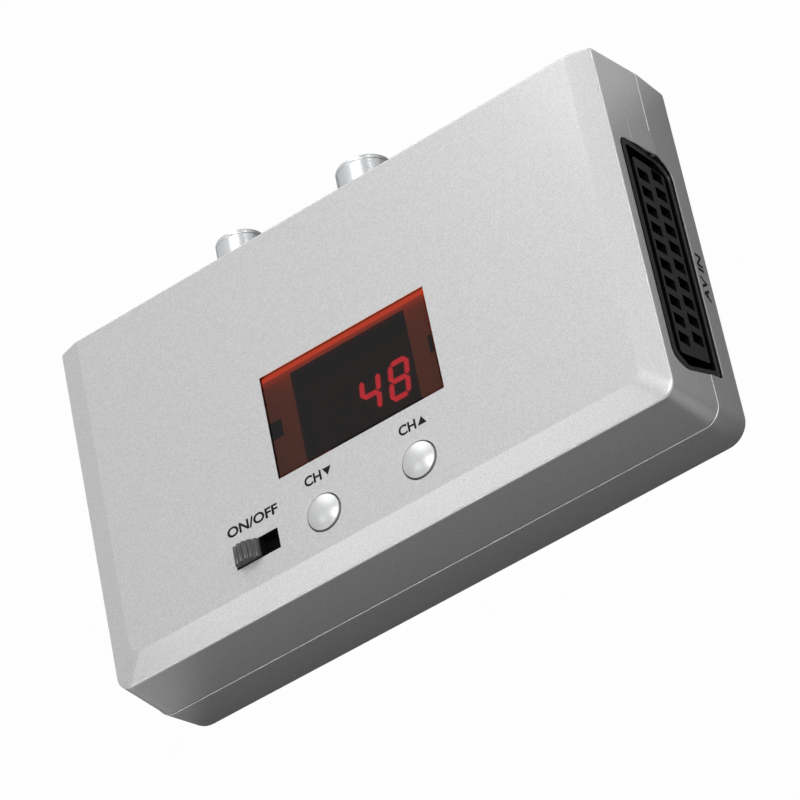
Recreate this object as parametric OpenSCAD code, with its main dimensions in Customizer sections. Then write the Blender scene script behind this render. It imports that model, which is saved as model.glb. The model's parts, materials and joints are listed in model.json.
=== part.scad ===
// Radio frequency modulator box: two-part plastic case, wide AV socket on the right,
// two coaxial aerial connectors at the back, display window, two buttons and a slide switch.
// Origin: centre of the case's flat base. +X right, +Y to the back, +Z up.

/* [Case] */
// Width of the case at the seam
case_w = 123.8; // [116:0.1:136]
// Depth of the case at the seam
case_d = 73.8; // [71:0.1:84]
// Height of the case
case_h = 24.6; // [24:0.1:30]
// Height of the seam between the two shells
seam_z = 10.5; // [9.5:0.1:11.5]
// Wall, roof and floor thickness
wall = 2.1; // [1.8:0.05:2.4]
// How far each upper side leans in from the seam to the bevel
upper_draft = 1.0; // [0.2:0.1:1.6]
// How far each lower side leans in from the seam to the base
lower_draft = 0.5; // [0.1:0.1:1.2]
// Width of the bevel round the top face, seen from above
bevel_run = 5.0; // [2:0.1:7]
// Height of the bevel
bevel_drop = 1.6; // [0.8:0.1:2.0]
// Radius of the upright front corners at the seam
corner_r = 3.6; // [2.8:0.1:6]
// Radius of the bevel's lower edge at the front corners
bevel_r = 3.0; // [2.6:0.1:6]
// Radius of the top face's front corners
top_r = 2.4; // [2.2:0.1:5]
// Rounding of the bottom edge
base_round = 0.9; // [0.3:0.1:1.5]
// Height of the lip that locates the shells on each other
lip_h = 1.5; // [0.8:0.1:2.5]
// Play between the lip and the upper shell
lip_play = 0.1; // [0.05:0.05:0.2]

/* [Case screws] */
// Distance of the left and right-rear screws from the side, at the seam
boss_from_side = 7.4; // [6.9:0.1:9]
// Distance of the front screws from the front, at the seam
boss_from_front = 6.9; // [6.6:0.1:8]
// Distance of the rear screws from the back
boss_from_back = 8.4; // [7:0.1:10]
// Distance of the right-front screw from the right side
boss_inner = 23.6; // [23.2:0.1:25]
// Outer radius of a lower screw boss
boss_r = 3.6; // [3.4:0.1:3.9]
// Outer radius of an upper screw boss
upper_boss_r = 3.2; // [2.6:0.1:3.6]
// Radius of the counterbore for the screw head
sink_r = 2.95; // [2.8:0.05:3.1]
// Depth of the counterbore from the base
sink_depth = 2.6; // [2.2:0.1:3.5]
// Radius of the case screw's shank
screw_r = 1.4; // [1.2:0.05:1.5]
// Length of the case screw's shank
screw_l = 12; // [10:0.5:14]
// Radius of the case screw's head
screw_head_r = 2.7; // [2.4:0.05:2.75]
// Height of the case screw's head
screw_head_h = 1.8; // [1.2:0.1:2.1]
// Radial play of a shank in its hole
screw_play = 0.03; // [0.02:0.01:0.08]

/* [Boards] */
// Thickness of both circuit boards
board_t = 1.6; // [1.2:0.1:1.8]
// Space under the main board
board_gap = 1.9; // [1.7:0.1:2.2]
// Space between the main board's edge and the case walls
board_play = 1.3; // [0.8:0.1:2]
// Gap between the main board and the socket's flange
flange_gap = 0.4; // [0.2:0.1:0.8]
// Distance of the control board's left edge from the middle, as a share of the half width
control_share = 0.549; // [0.54:0.001:0.552]
// Gap between the control board and the right front screw boss
control_gap = 0.7; // [0.5:0.1:1.2]
// Distance of the control board's front edge from the case front
control_from_front = 3.9; // [3.4:0.1:4.2]
// Distance of the control board's rear edge behind the window's centre
control_behind = 10.4; // [9.4:0.1:10.8]
// Radius of a small board screw's shank
small_screw_r = 1.0; // [0.8:0.05:1.1]
// Radius of a small board screw's head
small_head_r = 2.0; // [1.7:0.05:2.2]
// Height of a small board screw's head
small_head_h = 1.4; // [1:0.1:1.6]
// Length of the main board's screws
main_screw_l = 4.2; // [3.6:0.1:4.6]
// Length of the control board's screws
control_screw_l = 6.5; // [4:0.5:8]
// Radius of a main board post
post_r = 2.8; // [2.3:0.1:3.2]
// Radius of a control board post
control_post_r = 2.5; // [2.1:0.1:2.6]
// Distance of the left main board posts from the left side
main_post_from_left = 12.9; // [12:0.1:14]
// Distance of the right main board posts from the right side
main_post_from_right = 34.9; // [34:0.1:36]
// Distance of the main board posts from the middle, front to back
main_post_y = 20.5; // [19:0.5:21]

/* [Display] */
// Width of the display window
window_w = 36.2; // [34:0.1:38]
// Depth of the display window, front to back
window_d = 20.8; // [20:0.1:22]
// Distance of the window's centre from the case front
window_from_front = 34.6; // [34.2:0.1:35]
// Play of the window pane in its opening
window_play = 0.1; // [0.05:0.05:0.2]
// Thickness of the window pane
pane_t = 2.0; // [1.4:0.1:2.1]
// Thickness of the ledge under the pane
ledge_t = 1.2; // [0.8:0.1:1.6]
// Rim of the ledge outside the window opening
ledge_rim = 2.0; // [1:0.1:3]
// Width of the ledge's clear opening
ledge_open_w = 25.5; // [24:0.1:27]
// Depth of the ledge's clear opening, front to back
ledge_open_d = 18.9; // [18:0.1:19.4]
// Width of a snap lug of the pane
lug_w = 1.2; // [0.8:0.1:1.5]
// Length of a snap lug, front to back
lug_l = 3.0; // [2:0.1:4]
// Play of a snap lug in its hole
lug_play = 0.3; // [0.1:0.05:0.4]
// Length of a snap lug below the pane
lug_drop = 2.0; // [1.6:0.1:2.4]
// Depth of the display's face below the top face
display_depth = 6.8; // [6:0.1:7.4]
// Height of the display block
display_t = 7.0; // [6.4:0.1:7.2]
// Width of the display block
display_w = 26.6; // [24:0.1:28]
// Depth of the display block, front to back
display_d = 17.6; // [16:0.1:18]
// Height of a digit
digit_h = 7.9; // [6:0.1:9]
// Width of a digit between the outer edges of its bars
digit_w = 4.5; // [3.5:0.1:4.8]
// Distance from digit to digit
digit_pitch = 6.4; // [6:0.1:7]
// Width of one bar of a digit
bar_w = 0.9; // [0.6:0.05:1.2]
// Height of a bar above the display's face
bar_t = 0.2; // [0.1:0.05:0.3]
// Gap between neighbouring bars
bar_gap = 0.17; // [0.05:0.01:0.25]
// Lean of the digits in degrees
digit_lean = 7; // [0:0.5:10]

/* [Buttons] */
// Distance of each button from the middle of the case, as a share of the half width
button_share = 0.1696; // [0.16:0.001:0.19]
// Distance of the buttons and the switch from the case front
controls_from_front = 13.0; // [12.6:0.1:13.4]
// Diameter of a button
button_d = 6.8; // [5.5:0.1:7.2]
// Play of a button all round
button_play = 0.3; // [0.2:0.05:0.4]
// Height of the button's rim above the top face
button_proud = 0.25; // [0:0.05:0.6]
// Height of the button's dome above its rim
button_dome = 0.95; // [0.4:0.05:1.4]
// Radius of the button's retaining flange
button_flange_r = 4.3; // [4.1:0.1:4.5]
// Thickness of the button's flange
button_flange_t = 1.0; // [0.6:0.1:1.4]
// Gap between the flange and the roof at rest
button_rest_gap = 0.1; // [0.05:0.05:0.2]
// Radius of the button's stem
button_stem_r = 1.6; // [1.2:0.1:1.8]
// Travel of a button
button_travel = 0.6; // [0.3:0.05:0.8]
// Wall of the guide collar round a button
collar_wall = 1.1; // [0.8:0.1:1.2]
// Height of the guide collar below the roof
collar_h = 3.2; // [2.4:0.1:3.6]
// Side of a key switch body
key_side = 6.0; // [5:0.1:6.4]
// Height of a key switch body
key_h = 3.5; // [3:0.1:3.8]
// Height of a key switch plunger above its body
key_rise = 1.5; // [1:0.1:1.8]
// Radius of a key switch plunger
key_plunger_r = 1.7; // [1.2:0.1:2]
// Running play of the plunger in its body
key_play = 0.1; // [0.05:0.05:0.2]
// Space left under the plunger at full travel
key_spare = 0.3; // [0.1:0.1:0.6]
// Length of the plunger inside the body at rest
key_inside = 0.7; // [0.4:0.1:0.8]

/* [Slide switch] */
// Distance of the slot's centre from the middle of the case, as a share of the half width
slot_share = 0.412; // [0.405:0.001:0.418]
// Length of the slot in the top face
slot_l = 9.8; // [9:0.1:10.4]
// Width of the slot, front to back
slot_w = 4.1; // [3.4:0.1:4.6]
// Play of the knob in its slot
knob_play = 0.2; // [0.15:0.05:0.3]
// Gap left between the knob and the slot's ends
knob_end_gap = 0.4; // [0.3:0.05:0.6]
// Length of the knob
knob_l = 5.3; // [4.4:0.1:5.8]
// Height of the knob's crown above the top face
knob_rise = 1.95; // [1:0.05:2.5]
// Number of ribs across the knob
knob_ribs = 5; // [3:1:7]
// Depth of the grooves between the ribs
knob_groove = 0.3; // [0.1:0.05:0.4]
// Length of the knob's stem
stem_l = 4.2; // [3:0.1:4.4]
// Width of the knob's stem, front to back
stem_w = 2.2; // [1.6:0.1:2.6]
// Depth of the stem inside the switch body
stem_inside = 1.2; // [0.8:0.1:1.4]
// Length of the switch body
switch_l = 13.4; // [12.6:0.1:13.8]
// Width of the switch body, front to back
switch_w = 6.0; // [5.4:0.1:6.4]
// Height of the switch body
switch_h = 6.0; // [5:0.1:7]
// Depth of the channel in the switch body
channel_depth = 1.8; // [1.6:0.1:2.4]
// Play of the stem at the sides of its channel
channel_play = 0.15; // [0.1:0.05:0.25]

/* [AV socket] */
// Width of the socket's opening in the case wall, front to back
scart_w = 48.1; // [47.6:0.1:48.6]
// Height of the socket's opening
scart_h = 15.5; // [15.2:0.1:15.7]
// Distance of the opening's centre from the case back
scart_from_back = 42.15; // [41.6:0.05:42.4]
// How much the slanted front end runs back from top to bottom
scart_slant = 2.8; // [1.5:0.1:3.2]
// Radius of the opening's two round corners
scart_round = 1.9; // [1.4:0.1:2.4]
// Width of the opening's two cut corners
scart_cut_w = 1.7; // [1:0.1:2.4]
// Height of the opening's two cut corners
scart_cut_h = 3.3; // [2:0.1:4]
// Play of the housing in the opening
scart_play = 0.2; // [0.15:0.05:0.3]
// Distance of the housing's face inside the case wall's outer face
scart_recess = 0.7; // [0.4:0.1:1.2]
// Thickness of the housing's rim
rim_t = 1.2; // [0.9:0.1:1.4]
// Width of the groove at the ends of the contact block
groove_side = 2.0; // [1.6:0.1:2.2]
// Width of the groove above and below the contact block
groove_top = 1.45; // [1.2:0.05:1.6]
// Depth of the groove
groove_depth = 11; // [9:0.5:13]
// Length of the whole housing from its face
housing_l = 18; // [17:0.5:18.5]
// Thickness of the flange behind the case wall
flange_t = 2.0; // [1.4:0.1:2.4]
// Overhang of the flange past the opening
flange_over = 1.1; // [0.7:0.1:1.3]
// Gap between the flange and the case wall
flange_play = 0.15; // [0.1:0.05:0.3]
// Pitch of the contacts in one row
contact_pitch = 3.81; // [3.8:0.01:3.82]
// Number of contacts in one row
contact_count = 10; // [8:1:10]
// Distance between the two rows of contacts
row_pitch = 5.0; // [4.9:0.05:5.1]
// Shift of the upper row from the opening's centre, towards the back
row_shift = 0.3; // [0:0.1:0.4]
// Width of a contact slot
slot_open_w = 2.3; // [2.1:0.1:2.6]
// Height of a contact slot
slot_open_h = 3.4; // [3:0.1:3.6]
// Depth of a contact slot from the block's face
slot_open_depth = 12; // [10:0.5:13]
// Width of a contact blade
blade_w = 1.6; // [1.2:0.1:1.8]
// Thickness of a contact blade
blade_t = 0.4; // [0.3:0.05:0.5]
// Distance of a blade's tip inside the block's face
blade_recess = 1.2; // [0.8:0.1:2]
// Distance of the near row of legs behind the housing
leg_near = 0.8; // [0.5:0.1:1]
// Distance between the two rows of legs
leg_pitch = 2.4; // [2:0.1:2.54]
// Radius of a leg's hole in the board
leg_hole_r = 1.0; // [0.95:0.05:1.2]
// Width of the earth contact strip in the groove
earth_w = 5; // [3:0.5:8]
// Thickness of the earth contact strip
earth_t = 0.4; // [0.3:0.05:0.5]
// Depth of the earth strip's front edge inside the housing face
earth_recess = 1.5; // [1:0.1:3]
// Width of the locating tab beside the socket, front to back
tab_w = 5.0; // [3:0.1:5.4]
// Height of the locating tab above the seam
tab_h = 6.4; // [3:0.1:7]
// Distance of the tab's face inside the case side
tab_recess = 0.1; // [0.05:0.05:0.4]
// Play round the locating tab
tab_play = 0.12; // [0.05:0.01:0.2]

/* [Aerial connectors] */
// Distance of the plug connector to the left of the middle, as a share of the half width
plug_share = 0.3942; // [0.36:0.001:0.4]
// Distance of the socket connector to the right of the middle, as a share of the half width
jack_share = 0.0759; // [0.05:0.001:0.09]
// Height of the connectors' axis above the base
coax_z = 12.3; // [12.2:0.1:12.8]
// How far the connectors stand out of the back wall
coax_out = 10.0; // [8.8:0.1:12]
// Outer radius of the plug's sleeve
plug_r = 4.75; // [4.7:0.01:4.8]
// Wall of the plug's sleeve
plug_wall = 0.6; // [0.4:0.05:0.7]
// Outer radius of the socket's sleeve
jack_r = 5.4; // [5.3:0.05:5.6]
// Bore radius of the socket's sleeve
jack_bore_r = 4.82; // [4.8:0.01:4.86]
// Radius of the plug's centre pin
pin_r = 1.18; // [1.1:0.01:1.2]
// Distance of the pin's tip inside the sleeve's end
pin_recess = 0.8; // [0.4:0.1:2]
// Outer radius of the socket's centre tube
tube_r = 1.75; // [1.6:0.05:1.9]
// Bore radius of the socket's centre tube
tube_bore_r = 1.25; // [1.21:0.01:1.3]
// Depth of both connectors, measured in from the sleeve's end
mouth_depth = 8.6; // [7:0.1:9]
// Thickness of the connectors' inner flange
coax_flange_t = 1.0; // [0.6:0.1:1.4]
// Extra radius of the inner flange
coax_flange_over = 1.2; // [0.8:0.1:1.4]
// Extra radius of the shoulder at the root of each sleeve
shoulder_over = 0.25; // [0.1:0.05:0.4]
// How far the shoulder stands out of the back wall
shoulder_out = 0.3; // [0.2:0.1:0.6]
// Play of the shoulders in the case wall
coax_play = 0.1; // [0.05:0.05:0.3]
// Play of the shoulders in the shield can
coax_fit = 0.05; // [0.03:0.01:0.1]
// Play between the insulators and the metal round them
core_play = 0.02; // [0.01:0.01:0.05]

/* [Shield can] */
// Width of the shield can, as a share of the case's width
can_share = 0.412; // [0.405:0.001:0.42]
// Depth of the shield can, front to back
can_d = 23.0; // [20:0.1:23.4]
// Height of the can's sheet above the socket connector
can_rim = 1.5; // [1:0.1:1.9]
// Thickness of the can's sheet
sheet_t = 0.5; // [0.4:0.05:0.6]
// Height of the lid's skirt
skirt_h = 3.0; // [2:0.1:5]
// Play between the lid and the can
lid_play = 0.05; // [0.03:0.01:0.1]
// Gap between the can and the back wall
can_gap = 0.8; // [0.7:0.1:1.2]

/* [Power inlet] */
// Distance of the power inlet from the right side
inlet_from_side = 19.9; // [19:0.1:21]
// Width of the inlet body
inlet_w = 9; // [8.4:0.1:9.6]
// Length of the inlet body, front to back
inlet_l = 13.2; // [12:0.1:13.4]
// Height of the inlet body
inlet_h = 10.8; // [10:0.1:11.5]
// Outer radius of the inlet's nose in the case wall
inlet_nose_r = 4.0; // [3.8:0.05:4.2]
// Bore radius of the inlet
inlet_bore_r = 2.85; // [2.8:0.01:3.0]
// Depth of the inlet's bore
inlet_bore_l = 10; // [9:0.5:11]
// Radius of the inlet's centre pin
inlet_pin_r = 1.0; // [0.9:0.05:1.05]
// Distance of the pin's tip inside the nose
inlet_pin_recess = 1.5; // [1:0.1:2.5]
// Play of the nose in the case wall
inlet_play = 0.3; // [0.2:0.05:0.4]
// Gap between the inlet body and the back wall
inlet_gap = 0.2; // [0.1:0.05:0.3]

/* [Components] */
// Gap between neighbouring components
part_gap = 0.8; // [0.5:0.1:1]
// Radius of the large capacitor
cap_big_r = 4.0; // [3.5:0.1:4.2]
// Height of the large capacitor
cap_big_h = 12; // [9:0.5:13]
// Radius of the small capacitors
cap_small_r = 2.6; // [2:0.1:2.8]
// Height of the small capacitors
cap_small_h = 9; // [7:0.5:11]
// Width of the regulator
regulator_w = 10; // [9.6:0.1:10.4]
// Thickness of the regulator's body
regulator_t = 4.4; // [4:0.1:4.6]
// Height of the regulator's body
regulator_h = 9; // [8.5:0.1:9.3]
// Height of the regulator's legs above the board
regulator_leg = 1.2; // [0.8:0.1:1.6]
// Height of the regulator's metal tab above its body
tab_top = 4.4; // [3:0.1:4.8]
// Length of the controller chip
chip_l = 22.8; // [20:0.1:23.2]
// Width of the controller chip
chip_w = 6.4; // [5.8:0.1:6.6]
// Height of the controller chip's body
chip_h = 3.2; // [2.6:0.1:3.6]
// Height of the chip's body above the board
chip_lift = 0.6; // [0.4:0.1:0.8]
// Number of leads on each side of the controller chip
chip_leads = 9; // [7:1:9]
// Pitch of the chip's leads
lead_pitch = 2.54; // [2.5:0.01:2.56]
// Width of a chip lead
lead_w = 0.6; // [0.4:0.05:0.8]
// Length of the modulator chip
small_chip_l = 10; // [9:0.1:11]
// Width of the modulator chip
small_chip_w = 4; // [3.6:0.1:4.4]
// Height of the modulator chip
small_chip_h = 1.7; // [1.4:0.1:2]
// Length of the crystal
crystal_l = 10.6; // [10:0.1:11.2]
// Width of the crystal
crystal_w = 4.2; // [3.8:0.1:4.6]
// Height of the crystal
crystal_h = 3.4; // [3:0.1:3.8]
// Radius of a resistor body
resistor_r = 1.1; // [0.8:0.05:1.25]
// Length of a resistor body
resistor_l = 6.2; // [5:0.1:6.6]
// Radius of a resistor's wire
wire_r = 0.3; // [0.2:0.05:0.35]
// Span of a resistor between its bent wires
resistor_span = 10.2; // [9:0.1:10.8]
// Number of resistors
resistor_count = 6; // [3:1:6]
// Distance from resistor to resistor
resistor_pitch = 3.6; // [3:0.1:3.8]
// Mean radius of an air coil
coil_r = 2.2; // [1.8:0.1:2.6]
// Radius of the coil's wire
coil_wire_r = 0.45; // [0.3:0.05:0.5]
// Turns of an air coil
coil_turns = 4; // [3:1:5]
// Number of pins joining the two boards
link_pins = 10; // [6:1:10]
// Half side of a link pin
link_half = 0.32; // [0.25:0.01:0.4]
// Height of the link's plastic bar
link_bar_h = 2.5; // [2:0.1:3]
// Width of the link's plastic bar
link_bar_w = 2.4; // [2:0.1:2.54]

/* [Hidden] */

// Overrun of every cut, and the thickness of the slices that a shell is spanned over
over = 0.5;
slice = 0.02;
$fn = 48;
arc_steps = 8;
// Least radius kept on the inner corners of the shells
inner_r_least = 0.6;
// Radial play of the screw bosses in the main board's holes
boss_hole_play = 0.5;
// Radius of the holes for the display's pins and for the link between the boards
pin_hole_r = 0.5;
// The display's pins: radius, length below the display and number in a row
display_pin_r = 0.25;
display_pin_drop = 2.6;
display_pins_per_row = 6;
// How far the link's pins stand out of the control board
link_stub = 0.9;
// Distance of the link's pins from the case front
link_from_front = 20.6;
// Distance of the control board's posts from the board's edges
control_post_in = 2.9;
// Depth of a screw's cross recess and the half width of its arms
cross_depth = 0.6;
cross_half = 0.25;
cross_share = 0.6;
// Rise of the roof posts' holes above the screw tips
pilot_extra = 0.5;
// Switch terminals and key legs
terminal_w = 0.8;
terminal_t = 0.4;
terminal_drop = 3.0;
terminal_pitch = 4.0;
terminal_hole_r = 0.6;
// Place of the knob's crown and how fast it falls off, as shares of the knob's length and height
knob_crown_share = -0.12;
knob_fall_share = 2.05;
// How far the knob's head reaches below the roof
knob_foot_drop = 0.5;
// First coil's distance from the can's left end and the distance from coil to coil, shares of the can's width
coil_start_share = 0.31;
coil_pitch_share = 0.163;
// Each earth strip lies this share of the socket's width from its middle
earth_share = 0.25;

half_w = case_w / 2;
plug_root_r = plug_r + shoulder_over;
jack_root_r = jack_r + shoulder_over;
button_x = half_w * button_share;
slot_x = half_w * slot_share;
plug_x = half_w * plug_share;
jack_x = half_w * jack_share;
inlet_x = half_w - inlet_from_side;
main_post_left = half_w - main_post_from_left;
main_post_right = half_w - main_post_from_right;
control_left = -half_w * control_share;
control_right = half_w - boss_inner - boss_r - control_gap;
can_w = case_w * can_share;
front_y = -case_d / 2;
back_y = case_d / 2;
edge_z = case_h - bevel_drop;
roof_z = case_h - wall;
main_z = wall + board_gap;
main_top = main_z + board_t;
controls_y = front_y + controls_from_front;
window_y = front_y + window_from_front;
display_z = case_h - display_depth;
control_top = display_z - display_t;
control_z = control_top - board_t;
inner_back = back_y - wall;
board_back = inner_back - board_play;
board_front = front_y + wall + lower_draft + board_play;
board_left = -half_w + wall + lower_draft + board_play;
scart_y = back_y - scart_from_back;
scart_half_h = scart_h / 2 - scart_play;
scart_z = main_top + scart_half_h;
housing_face = half_w - scart_recess;
flange_x = half_w - upper_draft - wall - flange_play;
board_right = flange_x - flange_t - flange_gap;
housing_back = housing_face - housing_l;
block_face = housing_face;
can_h = coax_z - main_top + jack_r + can_rim;
can_back = inner_back - can_gap;
can_front = can_back - can_d;
can_x = (jack_x - plug_x) / 2;
can_top = main_top + can_h;
sleeve_end = back_y + coax_out;
sleeve_start = can_back - sheet_t - coax_flange_t;
inlet_face = inner_back - inlet_gap;
inlet_z = main_top + inlet_h / 2 + inlet_nose_r / 4;
control_front = front_y + control_from_front;
control_back = window_y + control_behind;

// Height profile of the knob's arched top, at a share s of its length
function knob_arch(s) = knob_rise * (1 - knob_fall_share * pow(s - knob_crown_share, 2));

// Places of the four case screws, the four main board posts and the four control board posts
boss_places = [
  [-half_w + boss_from_side, front_y + boss_from_front], [-half_w + boss_from_side, back_y - boss_from_back],
  [half_w - boss_inner, front_y + boss_from_front], [half_w - boss_from_side, back_y - boss_from_back]];
post_places = [
  [-main_post_left, -main_post_y], [-main_post_left, main_post_y],
  [main_post_right, -main_post_y], [main_post_right, main_post_y]];
control_places = [for (x = [control_left + control_post_in, control_right - control_post_in],
                       y = [control_front + control_post_in, control_back - control_post_in]) [x, y]];

// Places of the contacts: the lower row is half a pitch further back than the upper one
contact_places = [for (row = [0, 1], i = [0 : contact_count - 1])
  [scart_y + row_shift + row * contact_pitch / 2 + (i - (contact_count - 1) / 2) * contact_pitch,
   scart_z + row_pitch / 2 - row * row_pitch, row]];

// Bars of a digit in the order top, upper right, lower right, bottom, lower left, upper left, middle
no_bars = [false, false, false, false, false, false, false];
four_bars = [false, true, true, false, false, true, true];
eight_bars = [true, true, true, true, true, true, true];
shown_digits = [no_bars, four_bars, eight_bars];

function arc_points(cx, cy, r, from) =
  [for (i = [0 : arc_steps]) let (a = from + 90 * i / arc_steps) [cx + r * cos(a), cy + r * sin(a)]];

// Outline of the case at one level: round front corners, square back corners
function case_outline(inset_all, inset_more, r) =
  let (h = half_w - inset_all - inset_more, f = front_y + inset_all + inset_more, b = back_y - inset_all)
  concat([[h, b], [-h, b]], arc_points(-h + r, f + r, r, 180), arc_points(h - r, f + r, r, 270));

// Outline of the AV socket, slanted at its front end, in the plane of the case side
function scart_outline(grow) =
  let (w = scart_w / 2 + grow, h = scart_h / 2 + grow, r = max(scart_round + grow, inner_r_least),
       cw = scart_cut_w, ch = scart_cut_h)
  concat(
    [[-w, h - ch], [-w + scart_slant, -h + r]],
    [for (p = arc_points(-w + scart_slant + r, -h + r, r, 180)) p],
    [[w - cw, -h], [w, -h + ch]],
    [for (p = arc_points(w - r, h - r, r, 0)) p],
    [[-w + cw, h]]);

// Outline of the contact block: the socket's outline drawn in by the rim and the groove
function block_outline() =
  let (w = scart_w / 2 - scart_play - rim_t - groove_side, h = scart_h / 2 - scart_play - rim_t - groove_top)
  [[-w, h], [-w + scart_slant * h / (scart_h / 2), -h], [w, -h], [w, h]];

function side_x(z) = half_w - upper_draft * (z - seam_z) / (edge_z - seam_z);

module slab(points, z) {
  translate([0, 0, z]) linear_extrude(slice) polygon(points);
}

// Solid of the upper case, drawn in by inset on its sides, up to its roof at top
module upper_form(inset, top) {
  hull() {
    slab(case_outline(inset, 0, max(corner_r - inset, inner_r_least)), seam_z);
    slab(case_outline(inset, upper_draft, max(bevel_r - inset, inner_r_least)), top - bevel_drop - slice);
    slab(case_outline(inset, upper_draft + bevel_run, max(top_r - inset, inner_r_least)), top - slice);
  }
}

module lower_form(inset, floor_z) {
  hull() {
    slab(case_outline(inset, 0, max(corner_r - inset, inner_r_least)), seam_z - slice);
    slab(case_outline(inset, lower_draft, max(corner_r - inset, inner_r_least)), floor_z + base_round);
    slab(case_outline(inset, lower_draft + base_round, max(corner_r - inset, inner_r_least)), floor_z);
  }
}

// Extrudes an outline drawn in the plane of the case side, from x0 to x1
module along_x(x0, x1) {
  translate([x0, 0, 0]) rotate([90, 0, 90]) linear_extrude(x1 - x0) children();
}

module tube_y(r, y0, y1) {
  translate([0, y1, 0]) rotate([90, 0, 0]) cylinder(r = r, h = y1 - y0);
}

module scart_prism(grow, x0, x1) {
  along_x(x0, x1) translate([scart_y, scart_z]) polygon(scart_outline(grow));
}

// The openings that both shells share: AV socket, aerial connectors and power inlet
module shared_openings() {
  scart_prism(0, half_w - upper_draft - wall - over, half_w + over);
  translate([-plug_x, 0, coax_z]) tube_y(plug_root_r + coax_play, inner_back - over, back_y + over);
  translate([jack_x, 0, coax_z]) tube_y(jack_root_r + coax_play, inner_back - over, back_y + over);
  translate([inlet_x, 0, inlet_z]) tube_y(inlet_nose_r + inlet_play, inner_back - over, back_y + over);
}

// Ring that the lip stands in, between two insets from the case side
module lip_ring(inset_out, inset_in, z0, z1) {
  translate([0, 0, z0]) linear_extrude(z1 - z0) difference() {
    polygon(case_outline(inset_out, 0, max(corner_r - inset_out, inner_r_least)));
    polygon(case_outline(inset_in, 0, max(corner_r - inset_in, inner_r_least)));
  }
}

// Tab of the lower shell that fills the notch beside the AV socket
module locating_tab(grow, recess) {
  z1 = seam_z + tab_h + grow;
  y0 = scart_y + scart_w / 2;
  translate([0, y0 + tab_w + grow, 0]) rotate([90, 0, 0]) linear_extrude(tab_w + grow)
    polygon([[half_w - upper_draft - wall, seam_z - over], [side_x(seam_z - over) - recess, seam_z - over],
             [side_x(z1) - recess, z1], [half_w - upper_draft - wall, z1]]);
}

module window_cut() {
  translate([-window_w / 2, window_y - window_d / 2, roof_z - over])
    cube([window_w, window_d, wall + 2 * over]);
}

module ledge() {
  difference() {
    translate([-window_w / 2 - ledge_rim, window_y - window_d / 2 - ledge_rim, roof_z - ledge_t])
      cube([window_w + 2 * ledge_rim, window_d + 2 * ledge_rim, ledge_t]);
    translate([-ledge_open_w / 2, window_y - ledge_open_d / 2, roof_z - ledge_t - over])
      cube([ledge_open_w, ledge_open_d, ledge_t + 2 * over]);
    for (side = [-1, 1])
      translate([side * (window_w - lug_w - lug_play) / 2 - (lug_w + lug_play) / 2,
                 window_y - lug_l / 2 - lug_play, roof_z - ledge_t - over])
        cube([lug_w + lug_play, lug_l + 2 * lug_play, ledge_t + 2 * over]);
  }
}

module top_shell() {
  color("silver") difference() {
    union() {
      difference() {
        upper_form(0, case_h);
        translate([0, 0, -slice]) upper_form(wall, roof_z);
        window_cut();
      }
      ledge();
      for (side = [-1, 1]) translate([side * button_x, controls_y, roof_z - collar_h])
        cylinder(r = button_flange_r + button_play + collar_wall, h = collar_h + slice);
      for (p = boss_places) translate([p[0], p[1], seam_z])
        cylinder(r = upper_boss_r, h = roof_z - seam_z + slice);
      for (p = control_places) translate([p[0], p[1], control_top])
        cylinder(r = control_post_r, h = roof_z - control_top + slice);
    }
    lip_ring(wall / 2, wall + over, seam_z - over, seam_z + lip_h + lip_play);
    shared_openings();
    locating_tab(tab_play, -over);
    for (side = [-1, 1]) translate([side * button_x, controls_y, 0]) {
      translate([0, 0, roof_z - over]) cylinder(r = button_d / 2 + button_play, h = wall + 2 * over);
      translate([0, 0, roof_z - collar_h - over])
        cylinder(r = button_flange_r + button_play, h = collar_h + over);
    }
    translate([-slot_x - slot_l / 2, controls_y - slot_w / 2, roof_z - over])
      cube([slot_l, slot_w, wall + 2 * over]);
    for (p = boss_places) translate([p[0], p[1], seam_z - over])
      cylinder(r = screw_r + screw_play, h = sink_depth + screw_l - seam_z + pilot_extra + over);
    for (p = control_places) translate([p[0], p[1], control_top - over])
      cylinder(r = small_screw_r + screw_play, h = control_screw_l - board_t + pilot_extra + over);
  }
}

module bottom_shell() {
  color("gainsboro") difference() {
    union() {
      difference() {
        lower_form(0, 0);
        translate([0, 0, slice]) lower_form(wall, wall);
      }
      for (p = boss_places) translate([p[0], p[1], slice]) cylinder(r = boss_r, h = seam_z - slice);
      for (p = post_places) translate([p[0], p[1], wall - slice]) cylinder(r = post_r, h = board_gap + slice);
      difference() {
        lip_ring(wall / 2 + lip_play, wall, seam_z - wall, seam_z + lip_h);
        translate([0, 0, -over]) for (p = boss_places) translate([p[0], p[1], seam_z + over])
          cylinder(r = upper_boss_r + lip_play, h = lip_h + over);
      }
      locating_tab(0, tab_recess);
    }
    shared_openings();
    for (p = boss_places) translate([p[0], p[1], 0]) {
      translate([0, 0, -over]) cylinder(r = sink_r, h = sink_depth + over);
      cylinder(r = screw_r + screw_play, h = seam_z + over);
    }
    for (p = post_places) translate([p[0], p[1], main_top - main_screw_l - pilot_extra])
      cylinder(r = small_screw_r + screw_play, h = main_screw_l);
  }
}

module display_window() {
  w = window_w - 2 * window_play;
  d = window_d - 2 * window_play;
  color("darkred") {
    translate([-w / 2, window_y - d / 2, roof_z]) cube([w, d, pane_t]);
    for (side = [-1, 1])
      translate([side * (window_w / 2 - lug_play - lug_w / 2) - lug_w / 2, window_y - lug_l / 2,
                 roof_z - lug_drop])
        cube([lug_w, lug_l, lug_drop + slice]);
  }
}

module display_block() {
  color("darkolivegreen") translate([-display_w / 2, window_y - display_d / 2, control_top])
    cube([display_w, display_d, display_t]);
}

// A point leans with its height on the digit
function lean(p) = [p[0] + p[1] * tan(digit_lean), p[1]];

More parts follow.
